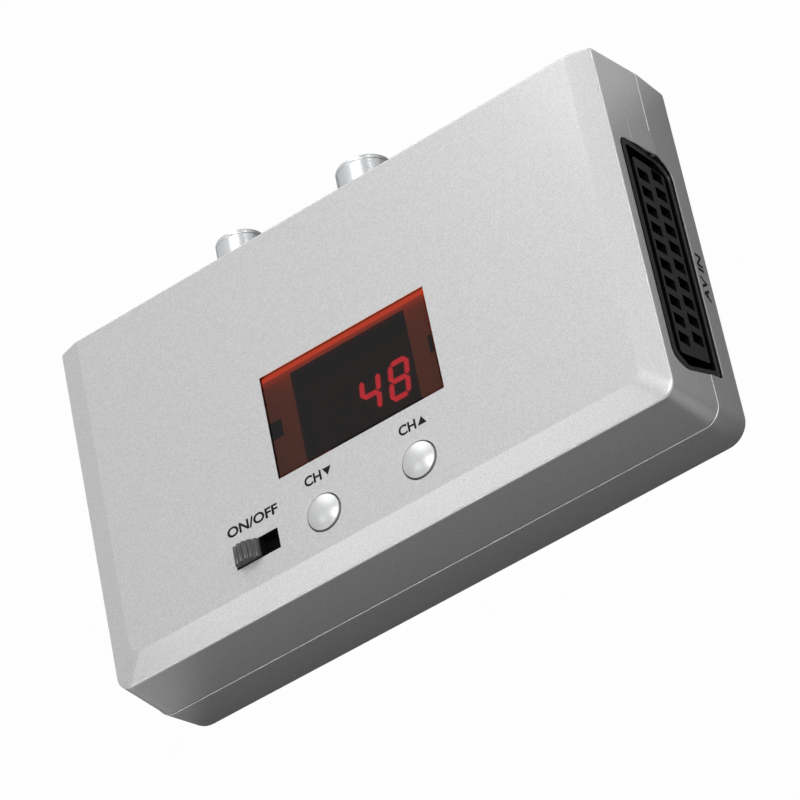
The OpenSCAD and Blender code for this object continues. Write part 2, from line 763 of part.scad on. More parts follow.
// Corner points of one bar of a digit round its own centre
function bar_across(x, y, l, t) =
  let (tip = l / 2, neck = (l - t) / 2, side = t / 2)
  [[x - tip, y], [x - neck, y + side], [x + neck, y + side],
   [x + tip, y], [x + neck, y - side], [x - neck, y - side]];
function bar_up(x, y, l, t) = [for (p = bar_across(0, 0, l, t)) [x - p[1], y + p[0]]];

module bar(n) {
  x = (digit_w - bar_w) / 2;
  y = (digit_h - bar_w) / 2;
  across = digit_w - bar_w - 2 * bar_gap;
  up = y - 2 * bar_gap;
  points =
    n == 0 ? bar_across(0, y, across, bar_w) :
    n == 1 ? bar_up(x, y / 2, up, bar_w) :
    n == 2 ? bar_up(x, -y / 2, up, bar_w) :
    n == 3 ? bar_across(0, -y, across, bar_w) :
    n == 4 ? bar_up(-x, -y / 2, up, bar_w) :
    n == 5 ? bar_up(-x, y / 2, up, bar_w) : bar_across(0, 0, across, bar_w);
  linear_extrude(bar_t) polygon([for (p = points) lean(p)]);
}

// The bars of all digits that are shown, or those that stay dark
module bars(shown) {
  for (digit = [0 : len(shown_digits) - 1])
    translate([(digit - (len(shown_digits) - 1) / 2) * digit_pitch, window_y, display_z])
      for (n = [0 : len(eight_bars) - 1])
        if (shown_digits[digit][n] == shown) bar(n);
}

module lit_bars() {
  color("red") bars(true);
}

module dark_bars() {
  color("dimgray") bars(false);
}

module display_pin_places() {
  for (side = [-1, 1], i = [0 : display_pins_per_row - 1])
    translate([(i - (display_pins_per_row - 1) / 2) * lead_pitch,
               window_y + side * (display_d / 2 - lead_pitch), 0])
      children();
}

module display_pins() {
  color("lightgray") display_pin_places()
    translate([0, 0, control_top - display_pin_drop]) cylinder(r = display_pin_r, h = display_pin_drop);
}

module link_places() {
  for (i = [0 : link_pins - 1])
    translate([(i - (link_pins - 1) / 2) * lead_pitch, front_y + link_from_front, 0]) children();
}

module control_board() {
  color("darkgreen") difference() {
    translate([control_left, control_front, control_z])
      cube([control_right - control_left, control_back - control_front, board_t]);
    for (p = control_places) translate([p[0], p[1], control_z - over])
      cylinder(r = small_screw_r + screw_play, h = board_t + 2 * over);
    display_pin_places() translate([0, 0, control_z - over]) cylinder(r = pin_hole_r, h = board_t + 2 * over);
    link_places() translate([0, 0, control_z - over]) cylinder(r = pin_hole_r, h = board_t + 2 * over);
    terminal_places() translate([0, 0, control_z - over])
      cylinder(r = terminal_hole_r, h = board_t + 2 * over);
  }
}

// Each screw boss stands in a notch that is open to the front or the back
module main_board() {
  r = boss_r + boss_hole_play;
  color("seagreen") difference() {
    translate([board_left, board_front, main_z])
      cube([board_right - board_left, board_back - board_front, board_t]);
    for (p = boss_places) {
      translate([p[0], p[1], main_z - over]) cylinder(r = r, h = board_t + 2 * over);
      translate([p[0] - r, p[1] < 0 ? front_y : p[1], main_z - over])
        cube([2 * r, back_y - abs(p[1]), board_t + 2 * over]);
    }
    for (p = post_places) translate([p[0], p[1], main_z - over])
      cylinder(r = small_screw_r + screw_play, h = board_t + 2 * over);
    for (c = contact_places) translate([leg_x(c[2]), c[0], main_z - over])
      cylinder(r = leg_hole_r, h = board_t + 2 * over);
  }
}

module board_link_bar() {
  l = link_pins * lead_pitch;
  color("dimgray") difference() {
    translate([-l / 2, front_y + link_from_front - link_bar_w / 2, main_top])
      cube([l, link_bar_w, link_bar_h]);
    link_places() translate([-link_half, -link_half, main_top - over])
      cube([2 * link_half, 2 * link_half, link_bar_h + 2 * over]);
  }
}

module board_link_pins() {
  color("goldenrod") link_places() translate([-link_half, -link_half, main_top])
    cube([2 * link_half, 2 * link_half, control_top + link_stub - main_top]);
}

// Button with its dome, flange and stem
module button() {
  r = button_d / 2;
  rim_z = case_h + button_proud;
  ball_r = (r * r + button_dome * button_dome) / (2 * button_dome);
  flange_z = roof_z - button_rest_gap - button_flange_t;
  intersection() {
    translate([0, 0, flange_z]) cylinder(r = r, h = rim_z + button_dome + over - flange_z);
    translate([0, 0, rim_z + button_dome - ball_r]) union() {
      sphere(r = ball_r);
      translate([0, 0, -case_h]) cylinder(r = ball_r, h = case_h);
    }
  }
  translate([0, 0, flange_z]) cylinder(r = button_flange_r, h = button_flange_t);
  translate([0, 0, control_top + key_h + key_rise])
    cylinder(r = button_stem_r, h = flange_z - control_top - key_h - key_rise + slice);
}

module plunger() {
  translate([0, 0, control_top + key_h - key_inside]) cylinder(r = key_plunger_r, h = key_inside + key_rise);
}

module key() {
  key_bore = key_inside + button_travel + key_spare;
  difference() {
    translate([-key_side / 2, -key_side / 2, control_top]) cube([key_side, key_side, key_h]);
    translate([0, 0, control_top + key_h - key_bore])
      cylinder(r = key_plunger_r + key_play, h = key_bore + over);
  }
}

module channel_up_button() {
  color("whitesmoke") translate([button_x, controls_y, 0]) button();
}

module channel_up_plunger() {
  color("black") translate([button_x, controls_y, 0]) plunger();
}

module channel_up_key() {
  color("gray") translate([button_x, controls_y, 0]) key();
}

module channel_down_button() {
  color("whitesmoke") translate([-button_x, controls_y, 0]) button();
}

module channel_down_plunger() {
  color("black") translate([-button_x, controls_y, 0]) plunger();
}

module channel_down_key() {
  color("gray") translate([-button_x, controls_y, 0]) key();
}

// The knob rests at the left end of its slot
module switch_knob() {
  x = -slot_x - slot_l / 2 + knob_end_gap + knob_l / 2;
  w = slot_w - 2 * knob_play;
  foot = roof_z - knob_foot_drop;
  teeth = 2 * knob_ribs;
  stem_z = control_top + switch_h - stem_inside;
  color("black") translate([x, controls_y, 0]) {
    translate([0, w / 2, 0]) rotate([90, 0, 0]) linear_extrude(w) polygon(concat(
      [[knob_l / 2, foot], [-knob_l / 2, foot]],
      [for (i = [0 : teeth]) let (s = i / teeth - 1 / 2)
        [s * knob_l, case_h + knob_arch(s) - (i % 2 == 0 ? knob_groove : 0)]]));
    translate([-stem_l / 2, -stem_w / 2, stem_z]) cube([stem_l, stem_w, foot - stem_z + slice]);
  }
}

module switch_body() {
  travel = slot_l - 2 * knob_end_gap - knob_l;
  l = travel + stem_l + 2 * channel_play;
  w = stem_w + 2 * channel_play;
  x = -slot_x - slot_l / 2 + knob_end_gap + knob_l / 2 - stem_l / 2 - channel_play;
  color("dimgray") difference() {
    translate([-slot_x - switch_l / 2, controls_y - switch_w / 2, control_top])
      cube([switch_l, switch_w, switch_h]);
    translate([x, controls_y - w / 2, control_top + switch_h - channel_depth])
      cube([l, w, channel_depth + over]);
  }
}

module terminal_places() {
  for (i = [-1 : 1]) translate([-slot_x + i * terminal_pitch, controls_y, 0]) children();
}

module switch_terminals() {
  color("silver") terminal_places()
    translate([-terminal_w / 2, -terminal_t / 2, control_top - terminal_drop])
      cube([terminal_w, terminal_t, terminal_drop]);
}

// Black moulded housing with its flange, the groove round the contact block and one slot for each contact
module av_housing() {
  flange_front = flange_x - flange_t;
  color("black") difference() {
    union() {
      scart_prism(-scart_play, housing_back, housing_face);
      intersection() {
        scart_prism(flange_over, flange_front, flange_x);
        translate([flange_front, front_y, 0]) cube([flange_t, case_d, scart_z + scart_half_h]);
      }
    }
    difference() {
      scart_prism(-scart_play - rim_t, housing_face - groove_depth, housing_face + over);
      along_x(housing_face - groove_depth - over, housing_face + 2 * over)
        translate([scart_y, scart_z]) polygon(block_outline());
    }
    for (c = contact_places) {
      translate([block_face - slot_open_depth, c[0] - slot_open_w / 2, c[1] - slot_open_h / 2])
        cube([slot_open_depth + over, slot_open_w, slot_open_h]);
      translate([housing_back - over, c[0] - blade_w / 2, c[1] - blade_t / 2])
        cube([housing_l, blade_w, blade_t]);
    }
  }
}

// The legs of the lower row stand nearest to the housing
function leg_x(row) = housing_back - leg_near - (1 - row) * leg_pitch - blade_t / 2;

// Each contact is a blade that runs back through the housing and a leg down through the board
module av_contacts() {
  leg_z = main_z - blade_w / 2;
  color("silver") for (c = contact_places) translate([0, c[0] - blade_w / 2, 0]) {
    x = leg_x(c[2]) - blade_t / 2;
    translate([x, 0, c[1] - blade_t / 2]) cube([block_face - blade_recess - x, blade_w, blade_t]);
    translate([x, 0, leg_z]) cube([blade_t, blade_w, c[1] + blade_t / 2 - leg_z]);
  }
}

// Sprung earth contact lying on the groove's lower wall
module av_earth_strip() {
  z = scart_z - scart_h / 2 + scart_play + rim_t;
  color("silver") for (side = [-1, 1])
    translate([housing_face - groove_depth, scart_y + side * earth_share * scart_w - earth_w / 2, z])
      cube([groove_depth - earth_recess, earth_w, earth_t]);
}

// Four walls of tinned sheet, open below and above, with holes for the two connectors
module shield_can() {
  x = can_x - can_w / 2;
  color("lightsteelblue") difference() {
    translate([x, can_front, main_top]) cube([can_w, can_d, can_h]);
    translate([x + sheet_t, can_front + sheet_t, main_top - over])
      cube([can_w - 2 * sheet_t, can_d - 2 * sheet_t, can_h + 2 * over]);
    translate([-plug_x, 0, coax_z]) tube_y(plug_root_r + coax_fit, can_back - sheet_t - over, can_back + over);
    translate([jack_x, 0, coax_z]) tube_y(jack_root_r + coax_fit, can_back - sheet_t - over, can_back + over);
  }
}

module shield_lid() {
  w = can_w + 2 * (lid_play + sheet_t);
  d = can_d + 2 * (lid_play + sheet_t);
  color("lightsteelblue") difference() {
    translate([can_x - w / 2, can_front - lid_play - sheet_t, can_top - skirt_h])
      cube([w, d, skirt_h + sheet_t]);
    translate([can_x - w / 2 + sheet_t, can_front - lid_play, can_top - skirt_h - over])
      cube([w - 2 * sheet_t, d - 2 * sheet_t, skirt_h + over]);
    translate([-plug_x, 0, coax_z]) tube_y(plug_root_r + coax_play, can_back - over, can_back + 2 * over);
    translate([jack_x, 0, coax_z]) tube_y(jack_root_r + coax_play, can_back - over, can_back + 2 * over);
  }
}

// Air coils lie on the board inside the can, each drawn as a row of touching turns
module tuning_coils() {
  color("peru") for (n = [0 : 2])
    translate([can_x - can_w / 2 + (coil_start_share + n * coil_pitch_share) * can_w,
               can_front + can_d / 3, main_top + coil_r + coil_wire_r])
      rotate([0, 90, 0]) for (turn = [0 : coil_turns - 1])
        translate([0, 0, turn * 2 * coil_wire_r * cos(30)]) rotate_extrude()
          translate([coil_r, 0]) circle(r = coil_wire_r);
}

module modulator_chip() {
  color("black") translate([can_x + can_w / 4, can_front + can_d / 3 - small_chip_w / 2, main_top])
    cube([small_chip_l, small_chip_w, small_chip_h]);
}

// Connector sleeve along Y with its shoulder and inner flange; r_in is the bore
module sleeve(r_out, r_in) {
  difference() {
    union() {
      tube_y(r_out, sleeve_start, sleeve_end);
      tube_y(r_out + shoulder_over, sleeve_start, back_y + shoulder_out);
      tube_y(r_out + coax_flange_over, sleeve_start, sleeve_start + coax_flange_t);
    }
    tube_y(r_in, sleeve_start - over, sleeve_end + over);
  }
}

module plug_sleeve() {
  color("lightgray") translate([-plug_x, 0, coax_z]) sleeve(plug_r, plug_r - plug_wall);
}

module plug_insulator() {
  color("ivory") translate([-plug_x, 0, coax_z]) difference() {
    tube_y(plug_r - plug_wall - core_play, sleeve_start, sleeve_end - mouth_depth);
    tube_y(pin_r + core_play, sleeve_start - over, sleeve_end);
  }
}

module plug_pin() {
  color("gold") translate([-plug_x, 0, coax_z]) {
    tube_y(pin_r, sleeve_start - coax_flange_t, sleeve_end - pin_recess - pin_r);
    translate([0, sleeve_end - pin_recess - pin_r, 0]) sphere(r = pin_r);
  }
}

module jack_sleeve() {
  color("lightgray") translate([jack_x, 0, coax_z]) sleeve(jack_r, jack_bore_r);
}

module jack_insulator() {
  color("ivory") translate([jack_x, 0, coax_z]) difference() {
    tube_y(jack_bore_r - core_play, sleeve_start, sleeve_end - mouth_depth);
    tube_y(tube_r + core_play, sleeve_start - over, sleeve_end);
  }
}

module jack_tube() {
  color("gold") translate([jack_x, 0, coax_z]) difference() {
    tube_y(tube_r, sleeve_start - coax_flange_t, sleeve_end - pin_recess);
    tube_y(tube_bore_r, sleeve_end - mouth_depth, sleeve_end);
  }
}

module inlet_body() {
  color("black") difference() {
    union() {
      translate([inlet_x - inlet_w / 2, inlet_face - inlet_l, main_top]) cube([inlet_w, inlet_l, inlet_h]);
      translate([inlet_x, 0, inlet_z]) tube_y(inlet_nose_r, inlet_face - over, back_y);
    }
    translate([inlet_x, 0, inlet_z]) tube_y(inlet_bore_r, back_y - inlet_bore_l, back_y + over);
  }
}

module inlet_pin() {
  color("silver") translate([inlet_x, 0, inlet_z])
    tube_y(inlet_pin_r, back_y - inlet_bore_l, back_y - inlet_pin_recess);
}

module regulator_place() {
  translate([can_x + can_w / 2 + 5 * part_gap, can_front, main_top]) children();
}

module regulator() {
  color("black") regulator_place() {
    translate([0, 0, regulator_leg]) cube([regulator_w, regulator_t, regulator_h]);
    for (i = [-1 : 1])
      translate([regulator_w / 2 + i * lead_pitch - lead_w / 2, regulator_t / 2 - lead_w / 2, 0])
        cube([lead_w, lead_w, regulator_leg + slice]);
  }
}

module regulator_tab() {
  color("silver") regulator_place() difference() {
    translate([0, -sheet_t * 2, regulator_leg]) cube([regulator_w, sheet_t * 2, regulator_h + tab_top]);
    translate([regulator_w / 2, 0, regulator_leg + regulator_h + tab_top / 2])
      tube_y(small_screw_r * 3 / 2, -sheet_t * 2 - over, over);
  }
}

module controller_chip() {
  color("black") translate([-main_post_left, 0, main_top]) {
    translate([-chip_w / 2, -chip_l / 2, chip_lift]) cube([chip_w, chip_l, chip_h]);
    for (side = [-1, 1], i = [0 : chip_leads - 1])
      translate([side * (chip_w / 2) - lead_w / 2, (i - (chip_leads - 1) / 2) * lead_pitch - lead_w / 2, 0])
        cube([lead_w, lead_w, chip_lift + chip_h / 2]);
  }
}

module crystal() {
  color("silver") translate([-main_post_left - chip_w / 2 - part_gap - crystal_w, -crystal_l / 2, main_top]) {
    translate([0, crystal_w / 2, 0]) cube([crystal_w, crystal_l - crystal_w, crystal_h]);
    for (y = [crystal_w / 2, crystal_l - crystal_w / 2])
      translate([crystal_w / 2, y, 0]) cylinder(r = crystal_w / 2, h = crystal_h);
  }
}

module large_capacitor() {
  x = inlet_x - inlet_w / 2 - 2 * part_gap - cap_big_r;
  color("midnightblue") translate([x, board_back - cap_big_r, main_top]) cylinder(r = cap_big_r, h = cap_big_h);
}

module small_capacitors() {
  x0 = can_x - can_w / 2 - lid_play - sheet_t;
  color("midnightblue") for (i = [0 : 2])
    translate([x0 - part_gap - cap_small_r, board_back - cap_small_r - i * 3 * cap_small_r, main_top])
      cylinder(r = cap_small_r, h = cap_small_h);
}

module resistors() {
  z = main_top + resistor_r;
  color("tan") for (i = [0 : resistor_count - 1])
    translate([-(resistor_count - 1) * resistor_pitch / 2 + i * resistor_pitch, window_y, z]) {
      tube_y(resistor_r, -resistor_l / 2, resistor_l / 2);
      tube_y(wire_r, -resistor_span / 2, resistor_span / 2);
      for (side = [-1, 1]) translate([0, side * (resistor_span / 2 - wire_r), -resistor_r])
        cylinder(r = wire_r, h = resistor_r);
    }
}

// Screw pointing up from z = 0, its head below, with a cross recess
module screw(r, l, head_r, head_h) {
  difference() {
    union() {
      translate([0, 0, -slice]) cylinder(r = r, h = l + slice);
      translate([0, 0, -head_h]) cylinder(r = head_r, h = head_h);
    }
    for (turn = [0, 90]) rotate([0, 0, turn])
      translate([-head_r * cross_share, -cross_half, -head_h - over])
        cube([2 * head_r * cross_share, 2 * cross_half, cross_depth + over]);
  }
}

module case_screws() {
  color("dimgray") for (p = boss_places) translate([p[0], p[1], sink_depth])
    screw(screw_r, screw_l, screw_head_r, screw_head_h);
}

module main_screws() {
  color("silver") for (p = post_places) translate([p[0], p[1], main_top]) mirror([0, 0, 1])
    screw(small_screw_r, main_screw_l, small_head_r, small_head_h);
}

module control_screws() {
  color("silver") for (p = control_places) translate([p[0], p[1], control_z])
    screw(small_screw_r, control_screw_l, small_head_r, small_head_h);
}

top_shell();
bottom_shell();
display_window();
display_block();
lit_bars();
dark_bars();
display_pins();
control_board();
main_board();
board_link_bar();
board_link_pins();
channel_up_button();
channel_up_plunger();
channel_up_key();
channel_down_button();
channel_down_plunger();
channel_down_key();
switch_knob();
switch_body();
switch_terminals();
av_housing();
av_contacts();
av_earth_strip();
shield_can();
shield_lid();
tuning_coils();
modulator_chip();
plug_sleeve();
plug_insulator();
plug_pin();
jack_sleeve();
jack_insulator();
jack_tube();
inlet_body();
inlet_pin();
regulator();
regulator_tab();
controller_chip();
crystal();
large_capacitor();
small_capacitors();
resistors();
case_screws();
main_screws();
control_screws();
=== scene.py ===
"""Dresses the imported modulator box: smooth shells, controls, connectors, display, materials and lights."""
import json
import math

import bmesh
import bpy
from mathutils import Matrix, Vector


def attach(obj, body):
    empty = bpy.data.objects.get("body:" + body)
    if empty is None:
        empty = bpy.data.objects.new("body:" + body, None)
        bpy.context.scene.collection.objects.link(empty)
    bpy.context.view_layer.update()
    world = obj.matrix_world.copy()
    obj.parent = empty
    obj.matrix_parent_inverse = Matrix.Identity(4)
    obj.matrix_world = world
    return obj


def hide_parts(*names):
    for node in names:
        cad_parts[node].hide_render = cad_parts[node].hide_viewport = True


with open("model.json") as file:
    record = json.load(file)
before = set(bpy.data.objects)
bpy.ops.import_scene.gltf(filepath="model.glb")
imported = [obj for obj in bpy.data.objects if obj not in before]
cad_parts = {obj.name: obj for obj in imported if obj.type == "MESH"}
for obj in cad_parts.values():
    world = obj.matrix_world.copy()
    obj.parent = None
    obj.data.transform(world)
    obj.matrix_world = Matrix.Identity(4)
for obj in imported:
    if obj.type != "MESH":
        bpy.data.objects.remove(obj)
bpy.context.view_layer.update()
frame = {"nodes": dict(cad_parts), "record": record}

MM = 0.001

# Sizes repeated from the CAD source, in millimetres
HALF_W, FRONT, BACK, CASE_H = 61.9, -36.9, 36.9, 24.6
SEAM, EDGE_Z, ROOF, WALL = 10.5, 23.0, 22.5, 2.1
DRAFT, LOWER_DRAFT, BEVEL = 1.0, 0.5, 5.0
WINDOW_Y, WINDOW_W, WINDOW_D = -2.3, 36.2, 20.8
LEDGE_OPEN = (12.75, 9.45)
LUG_X, LUG_HALF = 17.25, (0.85, 1.8)
CONTROLS_Y = FRONT + 13.0
BUTTON_X, SLOT_X = HALF_W * 0.1696, HALF_W * 0.412
BUTTON_R, FLANGE_R, STEM_R, STEM_FOOT = 3.4, 4.3, 1.6, 15.8
SLOT_L, SLOT_W = 9.8, 4.1
KNOB_L, KNOB_W, KNOB_FOOT = 5.3, 3.7, 15.6
SCART_Y, SCART_Z, SCART_W, SCART_H, SLANT = BACK - 42.15, 13.15, 48.1, 15.5, 2.8
SOCKET_DEPTH, CONTACT_PITCH, ROW_PITCH = 18.0, 3.81, 5.0
TAB_L, TAB_H = 5.0, 6.4
PLUG_X, JACK_X, COAX_Z, COAX_END = -HALF_W * 0.3942, HALF_W * 0.0759, 12.3, BACK + 10.0
PLUG_R, PLUG_BORE, JACK_R, JACK_BORE = 4.75, 4.15, 5.4, 4.82
INLET_X, INLET_Z = HALF_W - 19.9, 12.0
PLUG_HOLE, JACK_HOLE, INLET_HOLE = 5.1, 5.75, 4.3
BOSSES = [(-54.5, -30.0), (-54.5, 28.5), (38.3, -30.0), (54.5, 28.5)]
HEAD_R, HEAD_DEPTH = 2.95, 2.6

# Sizes of the finish, in millimetres
CORNER_R, CORNER_STEP = 3.6, 0.6  # round front corners at the seam, and what they lose up to each edge
SEAM_GAP = 0.05  # half the open seam between the shells
CUT_IN, CUT_OUT = 0.5, 1  # how far a cut reaches past a wall's inner and outer face
INK_GAP, INK = 0.01, 0.02  # height of a printed mark over its surface, and its thickness


# ---- mesh helpers ----

def new_object(name, data):
    """An object of the scene that shows the data."""
    obj = bpy.data.objects.new(name, data)
    bpy.context.scene.collection.objects.link(obj)
    return obj


def make_object(name, verts, faces):
    """A mesh object from points in millimetres, with its faces turned outwards."""
    mesh = bpy.data.meshes.new(name)
    mesh.from_pydata([[c * MM for c in v] for v in verts], [], faces)
    bm = bmesh.new()
    bm.from_mesh(mesh)
    bmesh.ops.remove_doubles(bm, verts=bm.verts, dist=1e-6)
    bmesh.ops.recalc_face_normals(bm, faces=bm.faces)
    bm.to_mesh(mesh)
    bm.free()
    return new_object(name, mesh)


def evaluated_mesh(obj):
    """A new mesh of the object with its modifiers applied."""
    graph = bpy.context.evaluated_depsgraph_get()
    return bpy.data.meshes.new_from_object(obj.evaluated_get(graph))


def loft(name, rings):
    """A closed skin over rings of equal point counts, capped at both ends."""
    n = len(rings[0])
    verts = [p for ring in rings for p in ring]
    faces = []
    for k in range(len(rings) - 1):
        for i in range(n):
            j = (i + 1) % n
            faces.append((k * n + i, k * n + j, (k + 1) * n + j, (k + 1) * n + i))
    faces.append(tuple(range(n)))
    faces.append(tuple(range((len(rings) - 1) * n, len(rings) * n)))
    return make_object(name, verts, faces)


def box(name, lo, hi):
    """A closed box between two corners, used to cut or to build on."""
    (x0, y0, z0), (x1, y1, z1) = lo, hi
    return loft(name, [[(x0, y0, z), (x1, y0, z), (x1, y1, z), (x0, y1, z)] for z in (z0, z1)])


def slab(name, centre, half, z0, z1):
    """A box round a centre in the plane, between two heights."""
    (x, y), (a, b) = centre, half
    return box(name, (x - a, y - b, z0), (x + a, y + b, z1))


def prism_x(name, outline, x0, x1):
    """An outline given as (y, z), extruded along X."""
    return loft(name, [[(x, y, z) for y, z in outline] for x in (x0, x1)])


def around(centre, axis, r, angle, d):
    """The point at a radius, an angle and a distance along the axis through centre."""
    u, v = r * math.cos(angle), r * math.sin(angle)
    p = (u, v, d) if axis == "z" else (u, d, v)
    return [p[i] + centre[i] for i in range(3)]


def lathe(name, profile, centre, axis, segments=96):
    """Turns a closed profile of (radius, distance along the axis) round the axis through centre."""
    count = len(profile)
    angles = [2 * math.pi * s / segments for s in range(segments)]
    verts = [around(centre, axis, r, a, d) for a in angles for r, d in profile]
    faces = []
    for s in range(segments):
        t = (s + 1) % segments
        for k in range(count):
            m = (k + 1) % count
            faces.append((s * count + k, s * count + m, t * count + m, t * count + k))
    return make_object(name, verts, faces)


def cylinder(name, r, centre, axis, d0, d1, segments=96):
    """A closed cylinder, as a loft of two rings along the axis."""
    return loft(name, [[around(centre, axis, r, 2 * math.pi * s / segments, d) for s in range(segments)]
                       for d in (d0, d1)])


def combine(obj, others, operation):
    """Boolean of obj with each of the others, which are used up."""
    for other in others:
        mod = obj.modifiers.new("cut", "BOOLEAN")
        mod.operation = operation
        mod.solver = "EXACT"
        mod.object = other
        mesh = evaluated_mesh(obj)
        obj.modifiers.clear()
        old = obj.data
        obj.data = mesh
        bpy.data.meshes.remove(old)
        bpy.data.objects.remove(other)


def add_bevel(obj, width, angle):
    """Rounds the edges that bend by more than the angle, given in degrees."""
    bevel = obj.modifiers.new("edges", "BEVEL")
    bevel.width = width * MM
    bevel.segments = 2
    bevel.limit_method = "ANGLE"
    bevel.angle_limit = math.radians(angle)


def finish_edges(obj, width, angle=32):
    """Rounds the sharp edges and keeps the flat faces flat."""
    obj.data.shade_smooth()
    add_bevel(obj, width, angle)
    normal = obj.modifiers.new("normals", "WEIGHTED_NORMAL")
    normal.keep_sharp = True
    normal.weight = 100


def flatten_back(obj):
    """Keeps the wide back wall flat between its holes."""
    wide = 30 * MM * MM
    for face in obj.data.polygons:
        if face.normal.y > 0.999 and face.area > wide:
            face.use_smooth = False


def fillet(points, radii, steps=6, closed=False):
    """A polyline in the plane with each corner rounded to its radius, all round if it is closed."""
    n = len(points)
    out = [] if closed else [points[0]]
    for i in range(0 if closed else 1, n if closed else n - 1):
        p, q, s = Vector(points[i - 1]), Vector(points[i]), Vector(points[(i + 1) % n])
        u, v = (p - q).normalized(), (s - q).normalized()
        half = math.acos(max(-1, min(1, u.dot(v)))) / 2
        cut = min(radii[i] / math.tan(half), 0.48 * (p - q).length, 0.48 * (s - q).length)
        r = cut * math.tan(half)
        centre = q + (u + v).normalized() * (r / math.sin(half))
        a, b = q + u * cut - centre, q + v * cut - centre
        turn = math.atan2(a.x * b.y - a.y * b.x, a.dot(b))
        for k in range(steps + 1):
            t = turn * k / steps
            c, d = math.cos(t), math.sin(t)
            out.append((centre.x + a.x * c - a.y * d, centre.y + a.x * d + a.y * c))
    if not closed:
        out.append(points[-1])
    return out


def arc_inset(radius, into):
    """How far a quarter round of the radius stands back once the height is this far into it."""
    return radius - math.sqrt(max(0.0, radius ** 2 - max(0.0, into) ** 2))


# ---- the case shells ----

def case_ring(inset, back_inset, r, z, back_r=0.5):
    """Outline of the case at one height: round front corners and nearly square back corners."""
    h, f, b = HALF_W - inset, FRONT + inset, BACK - back_inset
    r = max(r, 0.3)
    pts = []
    for cx, cy, rr, a0 in ((h - back_r, b - back_r, back_r, 0), (-h + back_r, b - back_r, back_r, 90),
                           (-h + r, f + r, r, 180), (h - r, f + r, r, 270)):
        steps = 10 if rr > back_r else 4
        for k in range(steps + 1):
            a = math.radians(a0 + 90 * k / steps)
            pts.append((cx + rr * math.cos(a), cy + rr * math.sin(a), z))
    return pts


def corner_radius(z):
    """The front corners get tighter from the seam up to the top face."""
    if z <= SEAM:
        return CORNER_R
    if z <= EDGE_Z:
        return CORNER_R - CORNER_STEP * (z - SEAM) / (EDGE_Z - SEAM)
    return CORNER_R - CORNER_STEP - CORNER_STEP * (z - EDGE_Z) / (CASE_H - EDGE_Z)


def upper_rings():
    """Rings from the seam over the side, the bevel and into the flat top."""
    groove, step, back_round = 0.16, 0.14, 0.5
    foot = SEAM + SEAM_GAP
    line = [(groove + 0.6, foot), (step, foot), (DRAFT, EDGE_Z), (DRAFT + BEVEL, CASE_H),
            (DRAFT + BEVEL + 3, CASE_H)]
    prof = fillet(line, [0, groove, 0.5, 1.2, 0])
    dense = []
    for a, b in zip(prof, prof[1:]):
        steps = 10 if b[1] > EDGE_Z + 0.3 and b[0] - a[0] > 1 and a[1] < CASE_H - 0.1 else 1
        for k in range(steps):
            dense.append((a[0] + (b[0] - a[0]) * k / steps, a[1] + (b[1] - a[1]) * k / steps))
    dense.append(prof[-1])
    rings = []
    for inset, z in dense:
        back = max(arc_inset(back_round, z - (CASE_H - back_round)), arc_inset(groove, foot + groove - z))
        rings.append(case_ring(inset, back, corner_radius(z), z))
    return rings


def lower_rings():
    """Rings from the base over its rounding and up to the seam."""
    groove, base = 0.12, 1.3
    rim = SEAM - SEAM_GAP
    line = [(LOWER_DRAFT + 4, 0), (LOWER_DRAFT, 0), (0.02, rim), (groove + 0.6, rim)]
    rings = []
    for inset, z in fillet(line, [0, base, groove, 0], steps=8):
        back = max(arc_inset(base, base - z), arc_inset(groove, z - (rim - groove)))
        rings.append(case_ring(inset, back, CORNER_R + (CORNER_STEP if z < base else 0), z))
    return rings


def inner_rings(levels):
    """Rings of the hollow inside a shell, from (inset, height) pairs."""
    return [case_ring(WALL + inset, WALL, max(corner_radius(z) - WALL, 0.6), z, back_r=0.4)
            for inset, z in levels]


def scart_outline(grow):
    """Outline of the AV opening as (y, z), slanted at its front end, with softened corners."""
    w, h = SCART_W / 2 + grow, SCART_H / 2 + grow
    corners = [(-w + 1.7, h), (-w, h - 3.3), (-w + SLANT, -h), (w - 1.7, -h), (w, -h + 3.3), (w, h)]
    radii = [max(r + grow, 0.25) for r in (3.2, 3.2, 1.9, 3.2, 3.2, 1.9)]
    return [(SCART_Y + y, SCART_Z + z) for y, z in fillet(corners, radii, steps=8, closed=True)]


def side_x(z):
    """Where the right side of the case stands at a height."""
    return HALF_W - DRAFT * (z - SEAM) / (EDGE_Z - SEAM)


def tab_solid(name, grow, recess):
    """The lower shell's tab beside the socket, or with grow the notch that it stands in."""
    inner, z0, z1 = HALF_W - DRAFT - WALL, SEAM - 0.5, SEAM + TAB_H + grow
    outline = [(inner, z0), (side_x(z0) - recess, z0), (side_x(z1) - recess, z1), (inner, z1)]
    y0 = SCART_Y + SCART_W / 2 - (0 if grow else 0.02)
    return loft(name, [[(x, y, z) for x, z in outline] for y in (y0, y0 + TAB_L + grow)])


def shared_cuts():
    """The AV opening and the round holes at the back, which the seam runs through."""
    cuts = [prism_x("cut_av", scart_outline(0), HALF_W - DRAFT - WALL - CUT_IN, HALF_W + CUT_OUT)]
    for name, r, x, z in (("cut_plug", PLUG_HOLE, PLUG_X, COAX_Z), ("cut_jack", JACK_HOLE, JACK_X, COAX_Z),
                          ("cut_inlet", INLET_HOLE, INLET_X, INLET_Z)):
        cuts.append(cylinder(name, r, (x, 0, z), "y", BACK - WALL - CUT_IN, BACK + CUT_OUT))
    return cuts


